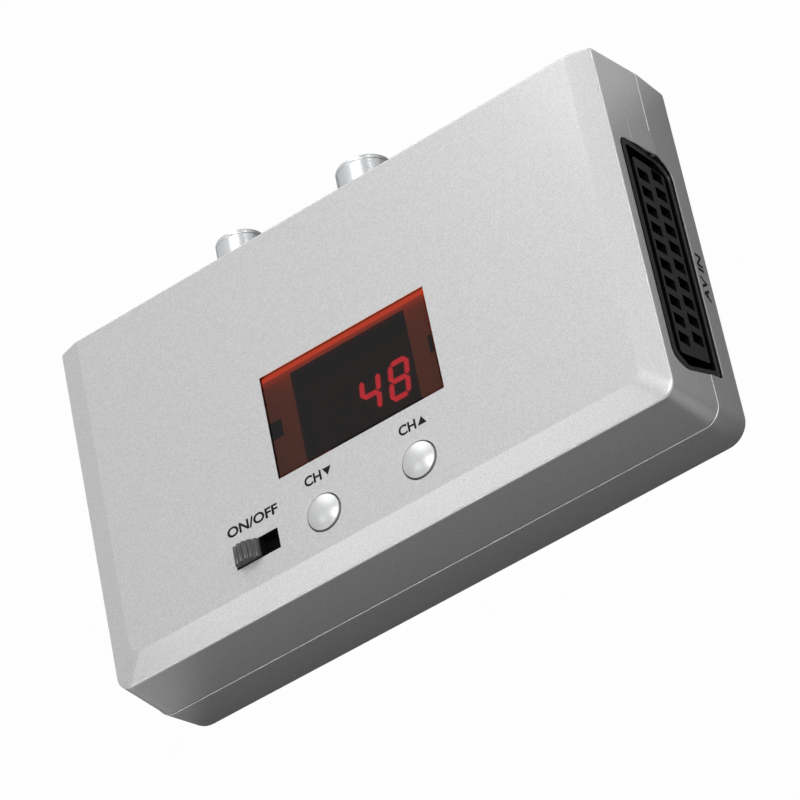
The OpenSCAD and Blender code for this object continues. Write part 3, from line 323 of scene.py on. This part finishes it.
def build_top():
    """Upper shell: window ledge, button collars, screw bosses and all its openings."""
    shell = loft("case_top", upper_rings())
    levels = [(0, SEAM - 1), (0, SEAM), (DRAFT, ROOF - 1.6), (DRAFT + BEVEL, ROOF)]
    hollow = loft("hollow", inner_rings(levels))
    window, gap, rest = (0, WINDOW_Y), 0.3, 2
    opening = slab("cut_window", window, (WINDOW_W / 2 + gap, WINDOW_D / 2 + gap), ROOF - 1, CASE_H + CUT_OUT)
    combine(shell, [hollow, opening], "DIFFERENCE")
    ledge = slab("ledge", window, (WINDOW_W / 2 + rest, WINDOW_D / 2 + rest), ROOF - 1.2, ROOF + 0.001)
    lugs = [slab("cut_lug", (side * LUG_X, WINDOW_Y), LUG_HALF, ROOF - 3, ROOF + 1) for side in (-1, 1)]
    combine(ledge, [slab("cut_open", window, LEDGE_OPEN, ROOF - 3, ROOF + 1)] + lugs, "DIFFERENCE")
    places = [(side * BUTTON_X, CONTROLS_Y, 0) for side in (-1, 1)]
    collars = [cylinder("collar", FLANGE_R + 1.4, at, "z", ROOF - 3.2, ROOF + 0.02) for at in places]
    bosses = [cylinder("boss", 3.2, (x, y, 0), "z", SEAM + 0.1, ROOF + 0.02, 48) for x, y in BOSSES]
    combine(shell, [ledge] + collars + bosses, "UNION")
    cuts = shared_cuts() + [tab_solid("cut_tab", 0.06, -0.5)]
    for at in places:
        cuts += [cylinder("cut_button", BUTTON_R + 0.3, at, "z", ROOF - 1, CASE_H + CUT_OUT),
                 cylinder("cut_flange", FLANGE_R + 0.3, at, "z", ROOF - 4, ROOF)]
    cuts += [slab("cut_slot", (-SLOT_X, CONTROLS_Y), (SLOT_L / 2, SLOT_W / 2), ROOF - 1, CASE_H + CUT_OUT)]
    combine(shell, cuts, "DIFFERENCE")
    finish_edges(shell, 0.12)
    flatten_back(shell)
    return shell


def build_bottom():
    """Lower shell: screw bosses with their countersinks, the tab and the shared openings."""
    shell = loft("case_bottom", lower_rings())
    hollow = loft("hollow", inner_rings([(LOWER_DRAFT, WALL), (0, SEAM), (0, SEAM + 1)]))
    combine(shell, [hollow], "DIFFERENCE")
    bosses = [cylinder("boss", 3.6, (x, y, 0), "z", 0.5, SEAM - 0.1, 48) for x, y in BOSSES]
    combine(shell, bosses + [tab_solid("tab", 0, 0.02)], "UNION")
    heads = [cylinder("cut_head", HEAD_R, (x, y, 0), "z", -1, HEAD_DEPTH, 64) for x, y in BOSSES]
    combine(shell, shared_cuts() + heads, "DIFFERENCE")
    finish_edges(shell, 0.12)
    flatten_back(shell)
    return shell


# ---- controls and connectors ----

def build_button(name, x):
    """Domed cap on its flange and stem, turned in one piece."""
    r, rim, dome, edge, tip = BUTTON_R, CASE_H + 0.25, 0.95, 0.22, 0.0005
    ball = (r * r + dome * dome) / (2 * dome)
    prof = [(tip, rim + dome)]
    for k in range(1, 25):
        q = (r - edge) * k / 24
        prof.append((q, rim + dome - ball + math.sqrt(ball * ball - q * q)))
    z0 = prof[-1][1]
    for k in range(1, 7):
        a = math.radians(70 - 70 * k / 6)
        prof.append((r - edge + edge * math.cos(a), z0 - edge + edge * math.sin(a)))
    prof += [(r, ROOF - 0.1), (FLANGE_R, ROOF - 0.1), (FLANGE_R, ROOF - 1.1), (STEM_R, ROOF - 1.1),
             (STEM_R, STEM_FOOT), (tip, STEM_FOOT)]
    cap = lathe(name, prof, (x, CONTROLS_Y, 0), "z")
    finish_edges(cap, 0.08)
    return cap


def build_knob():
    """Arched knob with five rounded ribs, on its stem and the plate that closes the slot."""
    rise, ribs, rib_h = 1.95, 5, 0.34
    left = -SLOT_X - SLOT_L / 2
    cx = left + 0.4 + KNOB_L / 2
    foot = ROOF - 0.5
    top = []
    for i in range(61):
        s = i / 60 - 0.5
        wave = 0.5 - 0.5 * math.cos(2 * math.pi * ribs * (s + 0.5))
        arch = rise * (1 - 2.05 * (s + 0.12) ** 2)
        top.append((s * KNOB_L, CASE_H + arch - rib_h + rib_h * wave ** 0.6))
    outline = [(KNOB_L / 2, foot), (-KNOB_L / 2, foot)] + top
    knob = loft("slide_knob", [[(cx + x, CONTROLS_Y + y, z) for x, z in outline]
                               for y in (-KNOB_W / 2, KNOB_W / 2)])
    stem = slab("stem", (cx, CONTROLS_Y), (2.1, 1.1), KNOB_FOOT, foot + 0.2)
    plate = box("cover", (left - 3.9, CONTROLS_Y - 2.6, 21.7), (left + SLOT_L + 0.2, CONTROLS_Y + 2.6, 22.2))
    combine(knob, [stem, plate], "UNION")
    finish_edges(knob, 0.14, angle=50)
    return knob


def build_sleeve(name, x, r, bore):
    """Turned connector sleeve: shoulder, outer wall, fine groove, rounded lip and bore."""
    start = BACK - WALL - 0.8 - 0.5 - 1.0
    lip = COAX_END - 0.95
    line = [(r + 1.2, start), (r + 1.2, start + 1.0), (r + 0.25, start + 1.0), (r + 0.25, BACK + 0.3),
            (r, BACK + 0.3), (r, lip - 0.12), (r - 0.16, lip), (r, lip + 0.12),
            (r, COAX_END), (bore, COAX_END), (bore, start), (r + 1.2, start)]
    radii = [0, 0.1, 0.05, 0.1, 0.05, 0.05, 0.05, 0.3, min(0.34, (r - bore) * 0.55),
             min(0.2, (r - bore) * 0.4), 0.05, 0]
    sleeve = lathe(name, fillet(line, radii, steps=4)[:-1], (x, 0, COAX_Z), "y")
    sleeve.data.shade_smooth()
    sleeve.data.set_sharp_from_angle(angle=math.radians(35))
    return sleeve


def build_av_socket():
    """Moulded socket: rim, groove round the block, flange and a slot with a passage for each contact."""
    inset, rim, end_groove, side_groove, groove_depth = 0.2, 1.2, 2.0, 1.45, 11
    face, wall = HALF_W - 0.7, HALF_W - DRAFT - WALL
    half_w, half_h = SCART_W / 2, SCART_H / 2
    body = prism_x("av_socket_body", scart_outline(-inset), face - SOCKET_DEPTH, face)
    flange = box("flange", (wall - 2.15, SCART_Y - half_w - 1.1, SCART_Z - half_h + inset),
                 (wall - 0.15, SCART_Y + half_w + 1.1, SCART_Z + half_h - inset))
    combine(body, [flange], "UNION")
    groove = prism_x("groove", scart_outline(-inset - rim), face - groove_depth, face + 1)
    w, h = half_w - inset - rim - end_groove, half_h - inset - rim - side_groove
    corners = [(-w, h), (-w + SLANT * h / half_h, -h), (w, -h), (w, h)]
    block = [(SCART_Y + y, SCART_Z + z) for y, z in fillet(corners, [0.6] * 4, steps=5, closed=True)]
    island = prism_x("island", block, face - groove_depth - 0.5, face + 2)
    combine(groove, [island], "DIFFERENCE")
    cuts = [groove]
    for row in (0, 1):
        for i in range(10):
            y = SCART_Y + 0.3 + row * CONTACT_PITCH / 2 + (i - 4.5) * CONTACT_PITCH
            z = SCART_Z + ROW_PITCH / 2 - row * ROW_PITCH
            cuts.append(box("cut_slot", (face - groove_depth - 1, y - 1.15, z - 1.7),
                            (face + 1, y + 1.15, z + 1.7)))
            cuts.append(box("cut_blade", (face - SOCKET_DEPTH - 1, y - 0.8, z - 0.2),
                            (face - groove_depth, y + 0.8, z + 0.2)))
    combine(body, cuts, "DIFFERENCE")
    finish_edges(body, 0.14)
    return body


# ---- shader nodes ----

def math_node(nt, operation, first, second=None):
    """A Math node whose inputs are sockets or plain numbers; returns its output."""
    node = nt.nodes.new("ShaderNodeMath")
    node.operation = operation
    for i, value in enumerate((first, second)):
        if value is None:
            continue
        if isinstance(value, (int, float)):
            node.inputs[i].default_value = value
        else:
            nt.links.new(value, node.inputs[i])
    return node.outputs["Value"]


def chain(nt, operation, first, *others):
    """Folds several sockets or numbers into one with the same Math operation."""
    for other in others:
        first = math_node(nt, operation, first, other)
    return first


def ramp_node(nt, value, from_min, from_max, to_min, to_max):
    """A smooth Map Range node, clamped at both ends; returns its output."""
    node = nt.nodes.new("ShaderNodeMapRange")
    node.interpolation_type = "SMOOTHSTEP"
    for key, v in (("From Min", from_min), ("From Max", from_max), ("To Min", to_min), ("To Max", to_max)):
        node.inputs[key].default_value = v
    nt.links.new(value, node.inputs["Value"])
    return node.outputs["Result"]


def mix_color(nt, factor, first, second, blend="MIX"):
    """Blends a colour socket with a plain colour; returns the output."""
    node = nt.nodes.new("ShaderNodeMix")
    node.data_type = "RGBA"
    node.blend_type = blend
    node.inputs["B"].default_value = second
    nt.links.new(factor, node.inputs["Factor"])
    nt.links.new(first, node.inputs["A"])
    return node.outputs["Result"]


def noise_node(nt, scale, detail):
    """Noise over the object's own coordinates; returns its factor."""
    coord = nt.nodes.new("ShaderNodeTexCoord")
    node = nt.nodes.new("ShaderNodeTexNoise")
    node.inputs["Scale"].default_value = scale
    node.inputs["Detail"].default_value = detail
    nt.links.new(coord.outputs["Object"], node.inputs["Vector"])
    return node.outputs["Fac"]


def object_xyz(nt):
    """The place on the object, as three sockets."""
    coord = nt.nodes.new("ShaderNodeTexCoord")
    sep = nt.nodes.new("ShaderNodeSeparateXYZ")
    nt.links.new(coord.outputs["Object"], sep.inputs["Vector"])
    return sep.outputs


def normal_z(nt):
    """The upward part of the surface's normal."""
    geo = nt.nodes.new("ShaderNodeNewGeometry")
    sep = nt.nodes.new("ShaderNodeSeparateXYZ")
    nt.links.new(geo.outputs["Normal"], sep.inputs["Vector"])
    return sep.outputs["Z"]


def within(nt, value, centre, half):
    """1 where the value lies less than half from centre, both in millimetres."""
    off = math_node(nt, "ABSOLUTE", math_node(nt, "SUBTRACT", value, centre * MM))
    return math_node(nt, "LESS_THAN", off, half * MM)


# ---- materials ----

def material(name, color, rough, metallic=0.0, grain=0.0, grain_scale=4000, rough_var=0.05, bump=0.0,
             patch=0.0, patch_scale=60, coat=0.0, coat_rough=0.05, specular=0.5):
    """A procedural surface: fine grain in the colour, slow patches, varied roughness and a fine bump."""
    mat = bpy.data.materials.new(name)
    mat.use_nodes = True
    nt = mat.node_tree
    bsdf = nt.nodes["Principled BSDF"]
    for key, value in (("Metallic", metallic), ("Coat Weight", coat), ("Coat Roughness", coat_rough),
                       ("Specular IOR Level", specular)):
        bsdf.inputs[key].default_value = value
    fine, slow = noise_node(nt, grain_scale, 2), noise_node(nt, patch_scale, 3)
    ramp = nt.nodes.new("ShaderNodeValToRGB")
    for stop, position, tone in zip(ramp.color_ramp.elements, (0.3, 0.7), (1 - grain, 1 + grain)):
        stop.position = position
        stop.color = (*[min(c * tone, 1) for c in color], 1)
    nt.links.new(fine, ramp.inputs["Fac"])
    shade = (1 - patch, 1 - patch, 1 - patch, 1)
    nt.links.new(mix_color(nt, slow, ramp.outputs["Color"], shade, "MULTIPLY"), bsdf.inputs["Base Color"])
    span = nt.nodes.new("ShaderNodeMapRange")
    span.inputs["To Min"].default_value = max(rough - rough_var, 0.02)
    span.inputs["To Max"].default_value = min(rough + rough_var, 1)
    nt.links.new(slow, span.inputs["Value"])
    nt.links.new(span.outputs["Result"], bsdf.inputs["Roughness"])
    if bump:
        node = nt.nodes.new("ShaderNodeBump")
        node.inputs["Strength"].default_value = bump
        node.inputs["Distance"].default_value = 0.00005
        nt.links.new(fine, node.inputs["Height"])
        nt.links.new(node.outputs["Normal"], bsdf.inputs["Normal"])
    return mat


def window_material():
    """Clear dark red acrylic; its rear cut edge is made opaque and painted with an orange glow, an emission
    that stands in for the light the edge gathers.
    """
    mat = material("window_red", (0.066, 0.0135, 0.005), 0.03, rough_var=0.01, grain=0.03, patch=0.05)
    nt = mat.node_tree
    bsdf = nt.nodes["Principled BSDF"]
    bsdf.inputs["IOR"].default_value = 1.25
    upright = math_node(nt, "LESS_THAN", math_node(nt, "ABSOLUTE", normal_z(nt)), 0.5)
    rear = math_node(nt, "GREATER_THAN", object_xyz(nt)["Y"], (WINDOW_Y + WINDOW_D / 2 - 0.2) * MM)
    # Painted glow: the upright rear edge of the pane is opaque and emits orange light in place of the light
    # it would gather
    edge = math_node(nt, "MULTIPLY", upright, rear)
    nt.links.new(math_node(nt, "SUBTRACT", 1.0, edge), bsdf.inputs["Transmission Weight"])
    bsdf.inputs["Emission Color"].default_value = (1.0, 0.14, 0.045, 1)
    nt.links.new(math_node(nt, "MULTIPLY", edge, 1.6), bsdf.inputs["Emission Strength"])
    return mat


def paint_shade_in_openings(mat):
    """Paints shade on the walls of the switch's slot and on those round the window and the AV socket: they
    are mixed to near-black where these recesses fall into shade.
    """
    nt = mat.node_tree
    xyz = object_xyz(nt)
    past, window_past = 0.02, 0.32
    slot = math_node(nt, "MULTIPLY", within(nt, xyz["X"], -SLOT_X, SLOT_L / 2 + past),
                     within(nt, xyz["Y"], CONTROLS_Y, SLOT_W / 2 + past))
    window = chain(nt, "MULTIPLY", within(nt, xyz["X"], 0, WINDOW_W / 2 + window_past),
                   within(nt, xyz["Y"], WINDOW_Y, WINDOW_D / 2 + window_past),
                   math_node(nt, "GREATER_THAN", xyz["Z"], (ROOF + 0.05) * MM))
    top = math_node(nt, "MULTIPLY", math_node(nt, "MAXIMUM", slot, window),
                    math_node(nt, "LESS_THAN", xyz["Z"], (CASE_H - 0.1) * MM))
    rise = math_node(nt, "SUBTRACT", xyz["Z"], SEAM * MM)
    draft = math_node(nt, "MAXIMUM", math_node(nt, "MULTIPLY", rise, DRAFT / (EDGE_Z - SEAM)),
                      math_node(nt, "MULTIPLY", rise, -LOWER_DRAFT / SEAM))
    depth = math_node(nt, "SUBTRACT", math_node(nt, "SUBTRACT", (HALF_W - 0.22) * MM, draft), xyz["X"])
    socket = chain(nt, "MULTIPLY", within(nt, xyz["Y"], SCART_Y, SCART_W / 2 + past),
                   within(nt, xyz["Z"], SCART_Z, SCART_H / 2 + past),
                   math_node(nt, "GREATER_THAN", depth, 0.0),
                   math_node(nt, "GREATER_THAN", xyz["X"], (HALF_W - 5) * MM),
                   math_node(nt, "GREATER_THAN", math_node(nt, "ABSOLUTE", rise), 0.45 * MM))
    # Painted shade: a near-black colour mixed into the silver on the walls inside the openings
    base = nt.nodes["Principled BSDF"].inputs["Base Color"]
    mask = math_node(nt, "MAXIMUM", top, socket)
    nt.links.new(mix_color(nt, mask, base.links[0].from_socket, (0.012, 0.012, 0.012, 1)), base)


def polish_edges(mat):
    """The paint shines more where it bends over the narrow edges."""
    nt = mat.node_tree
    inputs = nt.nodes["Principled BSDF"].inputs
    up = normal_z(nt)
    mask = math_node(nt, "MULTIPLY", ramp_node(nt, up, 0.2, 0.35, 0, 1), ramp_node(nt, up, 0.9, 0.935, 1, 0))
    smoother = math_node(nt, "MULTIPLY", mask, 0.1)
    rough = inputs["Roughness"].links[0].from_socket
    nt.links.new(math_node(nt, "SUBTRACT", rough, smoother), inputs["Roughness"])
    for key, more in (("Coat Weight", 0.5), ("Metallic", 0.2)):
        added = math_node(nt, "MULTIPLY", mask, more)
        nt.links.new(math_node(nt, "ADD", added, inputs[key].default_value), inputs[key])


def matt_below(mat, height, level):
    """The plate under the switch's slot is matt; what stands above the given height keeps its gloss."""
    nt = mat.node_tree
    above = math_node(nt, "GREATER_THAN", object_xyz(nt)["Z"], height * MM)
    nt.links.new(math_node(nt, "MULTIPLY", above, level),
                 nt.nodes["Principled BSDF"].inputs["Specular IOR Level"])


def glowing(name, color, strength):
    """Lit diffuser of a digit's bar, a little uneven."""
    mat = material(name, color, 0.35, grain=0.05, grain_scale=2500)
    inputs = mat.node_tree.nodes["Principled BSDF"].inputs
    inputs["Emission Color"].default_value = (*color, 1)
    inputs["Emission Strength"].default_value = strength
    return mat


MATERIALS = {
    "case_silver": material("case_silver", (0.68, 0.68, 0.68), 0.33, metallic=0.2, grain=0.11,
                            grain_scale=3600, rough_var=0.03, bump=0.12, patch=0.03, patch_scale=30,
                            specular=0.3, coat=0.5, coat_rough=0.1),
    "window_red": window_material(),
    # display_black: the olive is partly its own look, a green board seen under the red pane, and partly
    # painted light, the colour raised far above a dark face so that the shaded well under the pane doesn't go
    # black
    "display_black": material("display_black", (0.34, 0.5, 0.2), 0.5, grain=0.15, grain_scale=3000,
                              bump=0.05),
    "bar_lit": glowing("bar_lit", (1.0, 0.14, 0.6), 6.2),
    "bar_dark": material("bar_dark", (0.03, 0.008, 0.006), 0.35, grain=0.1),
    "button_silver": material("button_silver", (0.62, 0.625, 0.63), 0.36, metallic=0.4, grain=0.05,
                              grain_scale=6000, rough_var=0.03, bump=0.03),
    "socket_black": material("socket_black", (0.006, 0.006, 0.007), 0.22, specular=0.2, grain=0.1, bump=0.06,
                             rough_var=0.06),
    "switch_black": material("switch_black", (0.008, 0.008, 0.009), 0.3, grain=0.12, bump=0.08,
                             rough_var=0.06),
    "chrome": material("chrome", (0.5, 0.51, 0.52), 0.28, metallic=1.0, grain=0.03, grain_scale=2500,
                       rough_var=0.03, patch=0.06, patch_scale=120),
    "tinned_steel": material("tinned_steel", (0.55, 0.56, 0.57), 0.3, metallic=1.0, grain=0.06, patch=0.1,
                             patch_scale=200),
    "gold_brass": material("gold_brass", (0.75, 0.55, 0.22), 0.2, metallic=1.0, grain=0.04, patch=0.08),
    "insulator_white": material("insulator_white", (0.78, 0.78, 0.74), 0.45, grain=0.04, bump=0.05),
    "board_green": material("board_green", (0.02, 0.14, 0.05), 0.35, grain=0.15, grain_scale=1500, patch=0.2,
                            patch_scale=300),
    "chip_black": material("chip_black", (0.02, 0.02, 0.02), 0.55, grain=0.15, bump=0.1),
    "coil_copper": material("coil_copper", (0.6, 0.28, 0.13), 0.22, metallic=1.0, grain=0.06),
    "capacitor_blue": material("capacitor_blue", (0.02, 0.03, 0.12), 0.25, grain=0.08),
    "resistor_tan": material("resistor_tan", (0.5, 0.38, 0.22), 0.4, grain=0.08),
    "screw_steel": material("screw_steel", (0.35, 0.35, 0.36), 0.3, metallic=1.0, grain=0.08, patch=0.1),
    "print_black": material("print_black", (0.008, 0.008, 0.008), 0.6, grain=0.2, grain_scale=9000,
                            specular=0.1),
}
matt_below(MATERIALS["switch_black"], 22.35, 0.75)
paint_shade_in_openings(MATERIALS["case_silver"])
polish_edges(MATERIALS["case_silver"])


# ---- pieces ----

slot_of = {row["node"]: row["material_slot"] for row in frame["record"]["subparts"]}
BEVELS = {"display_block": 0.12, "av_contacts": 0.06, "shield_lid": 0.12, "main_board": 0.12,
          "control_board": 0.12}
for name, obj in frame["nodes"].items():
    slots = obj.data.materials
    if not slots:
        slots.append(None)
    for i in range(len(slots)):
        slots[i] = MATERIALS[slot_of[name]]
    if name in BEVELS:
        add_bevel(obj, BEVELS[name], 40)


def place(obj, body, slot_name, *nodes):
    """Gives a piece its material and its body, and hides the nodes that it replaces."""
    obj.data.materials.clear()
    obj.data.materials.append(MATERIALS[slot_name])
    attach(obj, body)
    if nodes:
        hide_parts(*nodes)


place(build_top(), "case", "case_silver", "top_shell")
place(build_bottom(), "case", "case_silver", "bottom_shell")
place(build_button("button_up", BUTTON_X), "channel_up", "button_silver", "channel_up_button")
place(build_button("button_down", -BUTTON_X), "channel_down", "button_silver", "channel_down_button")
place(build_knob(), "power_switch", "switch_black", "switch_knob")
place(build_av_socket(), "case", "socket_black", "av_housing")
place(build_sleeve("sleeve_plug", PLUG_X, PLUG_R, PLUG_BORE), "case", "chrome", "plug_sleeve")
place(build_sleeve("sleeve_jack", JACK_X, JACK_R, JACK_BORE), "case", "chrome", "jack_sleeve")


# ---- printed marks ----

def print_text(name, text, lo, hi, matrix):
    """Flat printed letters that fill the box lo..hi of a plane given by matrix, in millimetres."""
    curve = bpy.data.curves.new(name, "FONT")
    curve.body = text
    curve.size = 1
    curve.offset = 0.026
    letters = new_object(name, curve)
    mesh = evaluated_mesh(letters)
    bpy.data.objects.remove(letters)
    xs = [v.co.x for v in mesh.vertices]
    ys = [v.co.y for v in mesh.vertices]
    x0, y0 = min(xs), min(ys)
    sx = (hi[0] - lo[0]) / (max(xs) - x0)
    sy = (hi[1] - lo[1]) / (max(ys) - y0)
    for v in mesh.vertices:
        v.co = matrix @ Vector(((lo[0] + (v.co.x - x0) * sx) * MM, (lo[1] + (v.co.y - y0) * sy) * MM, 0))
    obj = new_object(name, mesh)
    thick = obj.modifiers.new("ink", "SOLIDIFY")
    thick.thickness = INK * MM
    thick.offset = 1
    place(obj, "case", "print_black")


def print_triangle(name, cx, cy, half, height, up):
    """Small solid arrow head next to the letters."""
    s = 1 if up else -1
    z = CASE_H + INK_GAP
    pts = [(cx - half, cy - s * height / 2), (cx + half, cy - s * height / 2), (cx, cy + s * height / 2)]
    obj = loft(name, [[(x, y, zz) for x, y in pts] for zz in (z, z + INK)])
    place(obj, "case", "print_black")


top_plane = Matrix.Translation((0, 0, (CASE_H + INK_GAP) * MM))
print_text("mark_on_off", "ON/OFF", (-31.1, -19.15), (-19.8, -17.1), top_plane)
print_text("mark_channel_down", "CH", (-13.3, -17.5), (-9.6, -15.45), top_plane)
print_triangle("arrow_down", -8.25, -16.45, 0.95, 1.6, False)
print_text("mark_channel_up", "CH", (7.6, -17.75), (11.3, -15.7), top_plane)
print_triangle("arrow_up", 12.6, -16.7, 0.95, 1.6, True)
tilt = Matrix.Rotation(math.atan2(LOWER_DRAFT, SEAM), 4, "Y")
sideways = Matrix(((0, 0, 1, 0), (1, 0, 0, 0), (0, 1, 0, 0), (0, 0, 0, 1)))
side_plane = Matrix.Translation(((HALF_W - LOWER_DRAFT + INK_GAP) * MM, 0, 0)) @ tilt @ sideways
print_text("mark_in", "AV IN", (-9.5, 2.6), (0.5, 4.6), side_plane)


# ---- stage, light and camera ----

FLOOR_TONE = 0.18  # what the floor gives back of the lamps' light
SEEN_WHITE = 0.985  # how white the floor is where it is seen
WORLD_FILL = 0.02  # what the world adds to the light on the object


def stage_material():
    """White to the camera, through the window and to far reflections. To reflections close to the case it is
    darker, a painted shade, and off the case's corners it is brighter, a painted light patch that puts
    highlights on the round corners; a plain matt floor to everything else."""
    mat = bpy.data.materials.new("stage_white")
    mat.use_nodes = True
    nt = mat.node_tree
    nt.nodes.clear()
    out = nt.nodes.new("ShaderNodeOutputMaterial")
    diffuse = nt.nodes.new("ShaderNodeBsdfDiffuse")
    diffuse.inputs["Color"].default_value = (FLOOR_TONE, FLOOR_TONE, FLOOR_TONE, 1)
    glow = nt.nodes.new("ShaderNodeEmission")
    glow.inputs["Color"].default_value = (1, 1, 1, 1)
    glow.inputs["Strength"].default_value = 1.0
    rays = nt.nodes.new("ShaderNodeLightPath").outputs
    xyz = object_xyz(nt)
    x_out = math_node(nt, "SUBTRACT", math_node(nt, "ABSOLUTE", xyz["X"]), HALF_W * MM)
    y_out = math_node(nt, "SUBTRACT", math_node(nt, "ABSOLUTE", xyz["Y"]), BACK * MM)
    away = math_node(nt, "MAXIMUM", x_out, y_out)
    # Painted shade: reflections of the floor close to the case are darkened by their place, standing in for
    # the case's shadow
    painted_near_shade = ramp_node(nt, away, 0.0, 0.025, 0.12, 0.36)
    # Painted highlight: a bright patch on the floor off each corner of the case, seen only in reflections,
    # lights the case's round corners
    corner = math_node(nt, "MULTIPLY", ramp_node(nt, x_out, -0.012, 0.012, 0, 1),
                       ramp_node(nt, y_out, -0.008, 0.012, 0, 0.9))
    far = ramp_node(nt, away, 0.06, 0.3, 0, 1)
    mirrored = math_node(nt, "MULTIPLY", rays["Is Glossy Ray"], chain(nt, "MAXIMUM", painted_near_shade, corner, far))
    seen = chain(nt, "MAXIMUM", rays["Is Camera Ray"], mirrored, rays["Is Transmission Ray"])
    mix = nt.nodes.new("ShaderNodeMixShader")
    nt.links.new(math_node(nt, "MULTIPLY", seen, SEEN_WHITE), mix.inputs["Fac"])
    nt.links.new(diffuse.outputs["BSDF"], mix.inputs[1])
    nt.links.new(glow.outputs["Emission"], mix.inputs[2])
    nt.links.new(mix.outputs["Shader"], out.inputs["Surface"])
    return mat


floor = slab("floor", (0, 0), (3000, 3000), -1.0, -0.02)
floor.data.materials.append(stage_material())

# Name, place, size (all in metres) and strength of each lamp
LAMPS = [
    ("back_low", (-0.239, 0.735, 0.207), (0.35, 0.35), 0.81),
    ("over_right", (0.140, 0.000, 0.400), (0.2, 0.2), 0.68),
    ("high_left", (-0.340, 0.000, 0.725), (0.18, 0.18), 0.36),
    ("back_near", (0.000, 0.300, 0.250), (0.2, 0.2), 0.26),
    ("right_near", (0.200, 0.000, 0.180), (0.1, 0.1), 0.06),
    ("edge_front", (-0.370, -0.440, 0.570), (0.3, 0.02), 0.38),
    ("edge_right", (0.600, 0.420, 0.340), (0.3, 0.02), 0.30),
    ("panel", (-0.360, 0.440, 0.630), (0.8, 0.8), 0.26),
]
LAMP_TARGET = Vector((0, 0, 0.015))
for name, location, size, energy in LAMPS:
    data = bpy.data.lights.new(name, "AREA")
    data.shape = "RECTANGLE"
    data.size, data.size_y = size
    data.energy = energy
    obj = new_object(name, data)
    obj.location = location
    obj.rotation_euler = (LAMP_TARGET - obj.location).to_track_quat("-Z", "Y").to_euler()

world = bpy.data.worlds.new("studio")
bpy.context.scene.world = world
world.use_nodes = True
sky = world.node_tree
background = sky.nodes["Background"]
background.inputs["Color"].default_value = (1, 1, 1, 1)
rays = sky.nodes.new("ShaderNodeLightPath").outputs
white = chain(sky, "MAXIMUM", rays["Is Camera Ray"], rays["Is Transmission Ray"], rays["Is Glossy Ray"],
              WORLD_FILL)
sky.links.new(white, background.inputs["Strength"])

# The camera: a rotation vector and a shift that take the case's frame, in millimetres, into the camera's
VIEW_TURN, VIEW_SHIFT = Vector((2.511, -0.462, -0.762)), Vector((-1.229, -27.256, 917.815))
FOCAL_PIXELS, IMAGE_PIXELS, SENSOR = 5000, 800, 36
turn = Matrix.Rotation(VIEW_TURN.length, 3, VIEW_TURN.normalized())
eye = -(turn.transposed() @ VIEW_SHIFT) + Vector((0, BACK, 0))
flip = Matrix(((1, 0, 0), (0, -1, 0), (0, 0, -1)))
lens = bpy.data.cameras.new("camera")
lens.sensor_width = SENSOR
lens.lens = SENSOR * FOCAL_PIXELS / IMAGE_PIXELS
lens.clip_start = 0.05
lens.clip_end = 20
camera = new_object("camera", lens)
camera.matrix_world = Matrix.Translation(eye * MM) @ (flip @ turn).transposed().to_4x4()
bpy.context.scene.camera = camera

bpy.context.scene.view_settings.view_transform = "Standard"
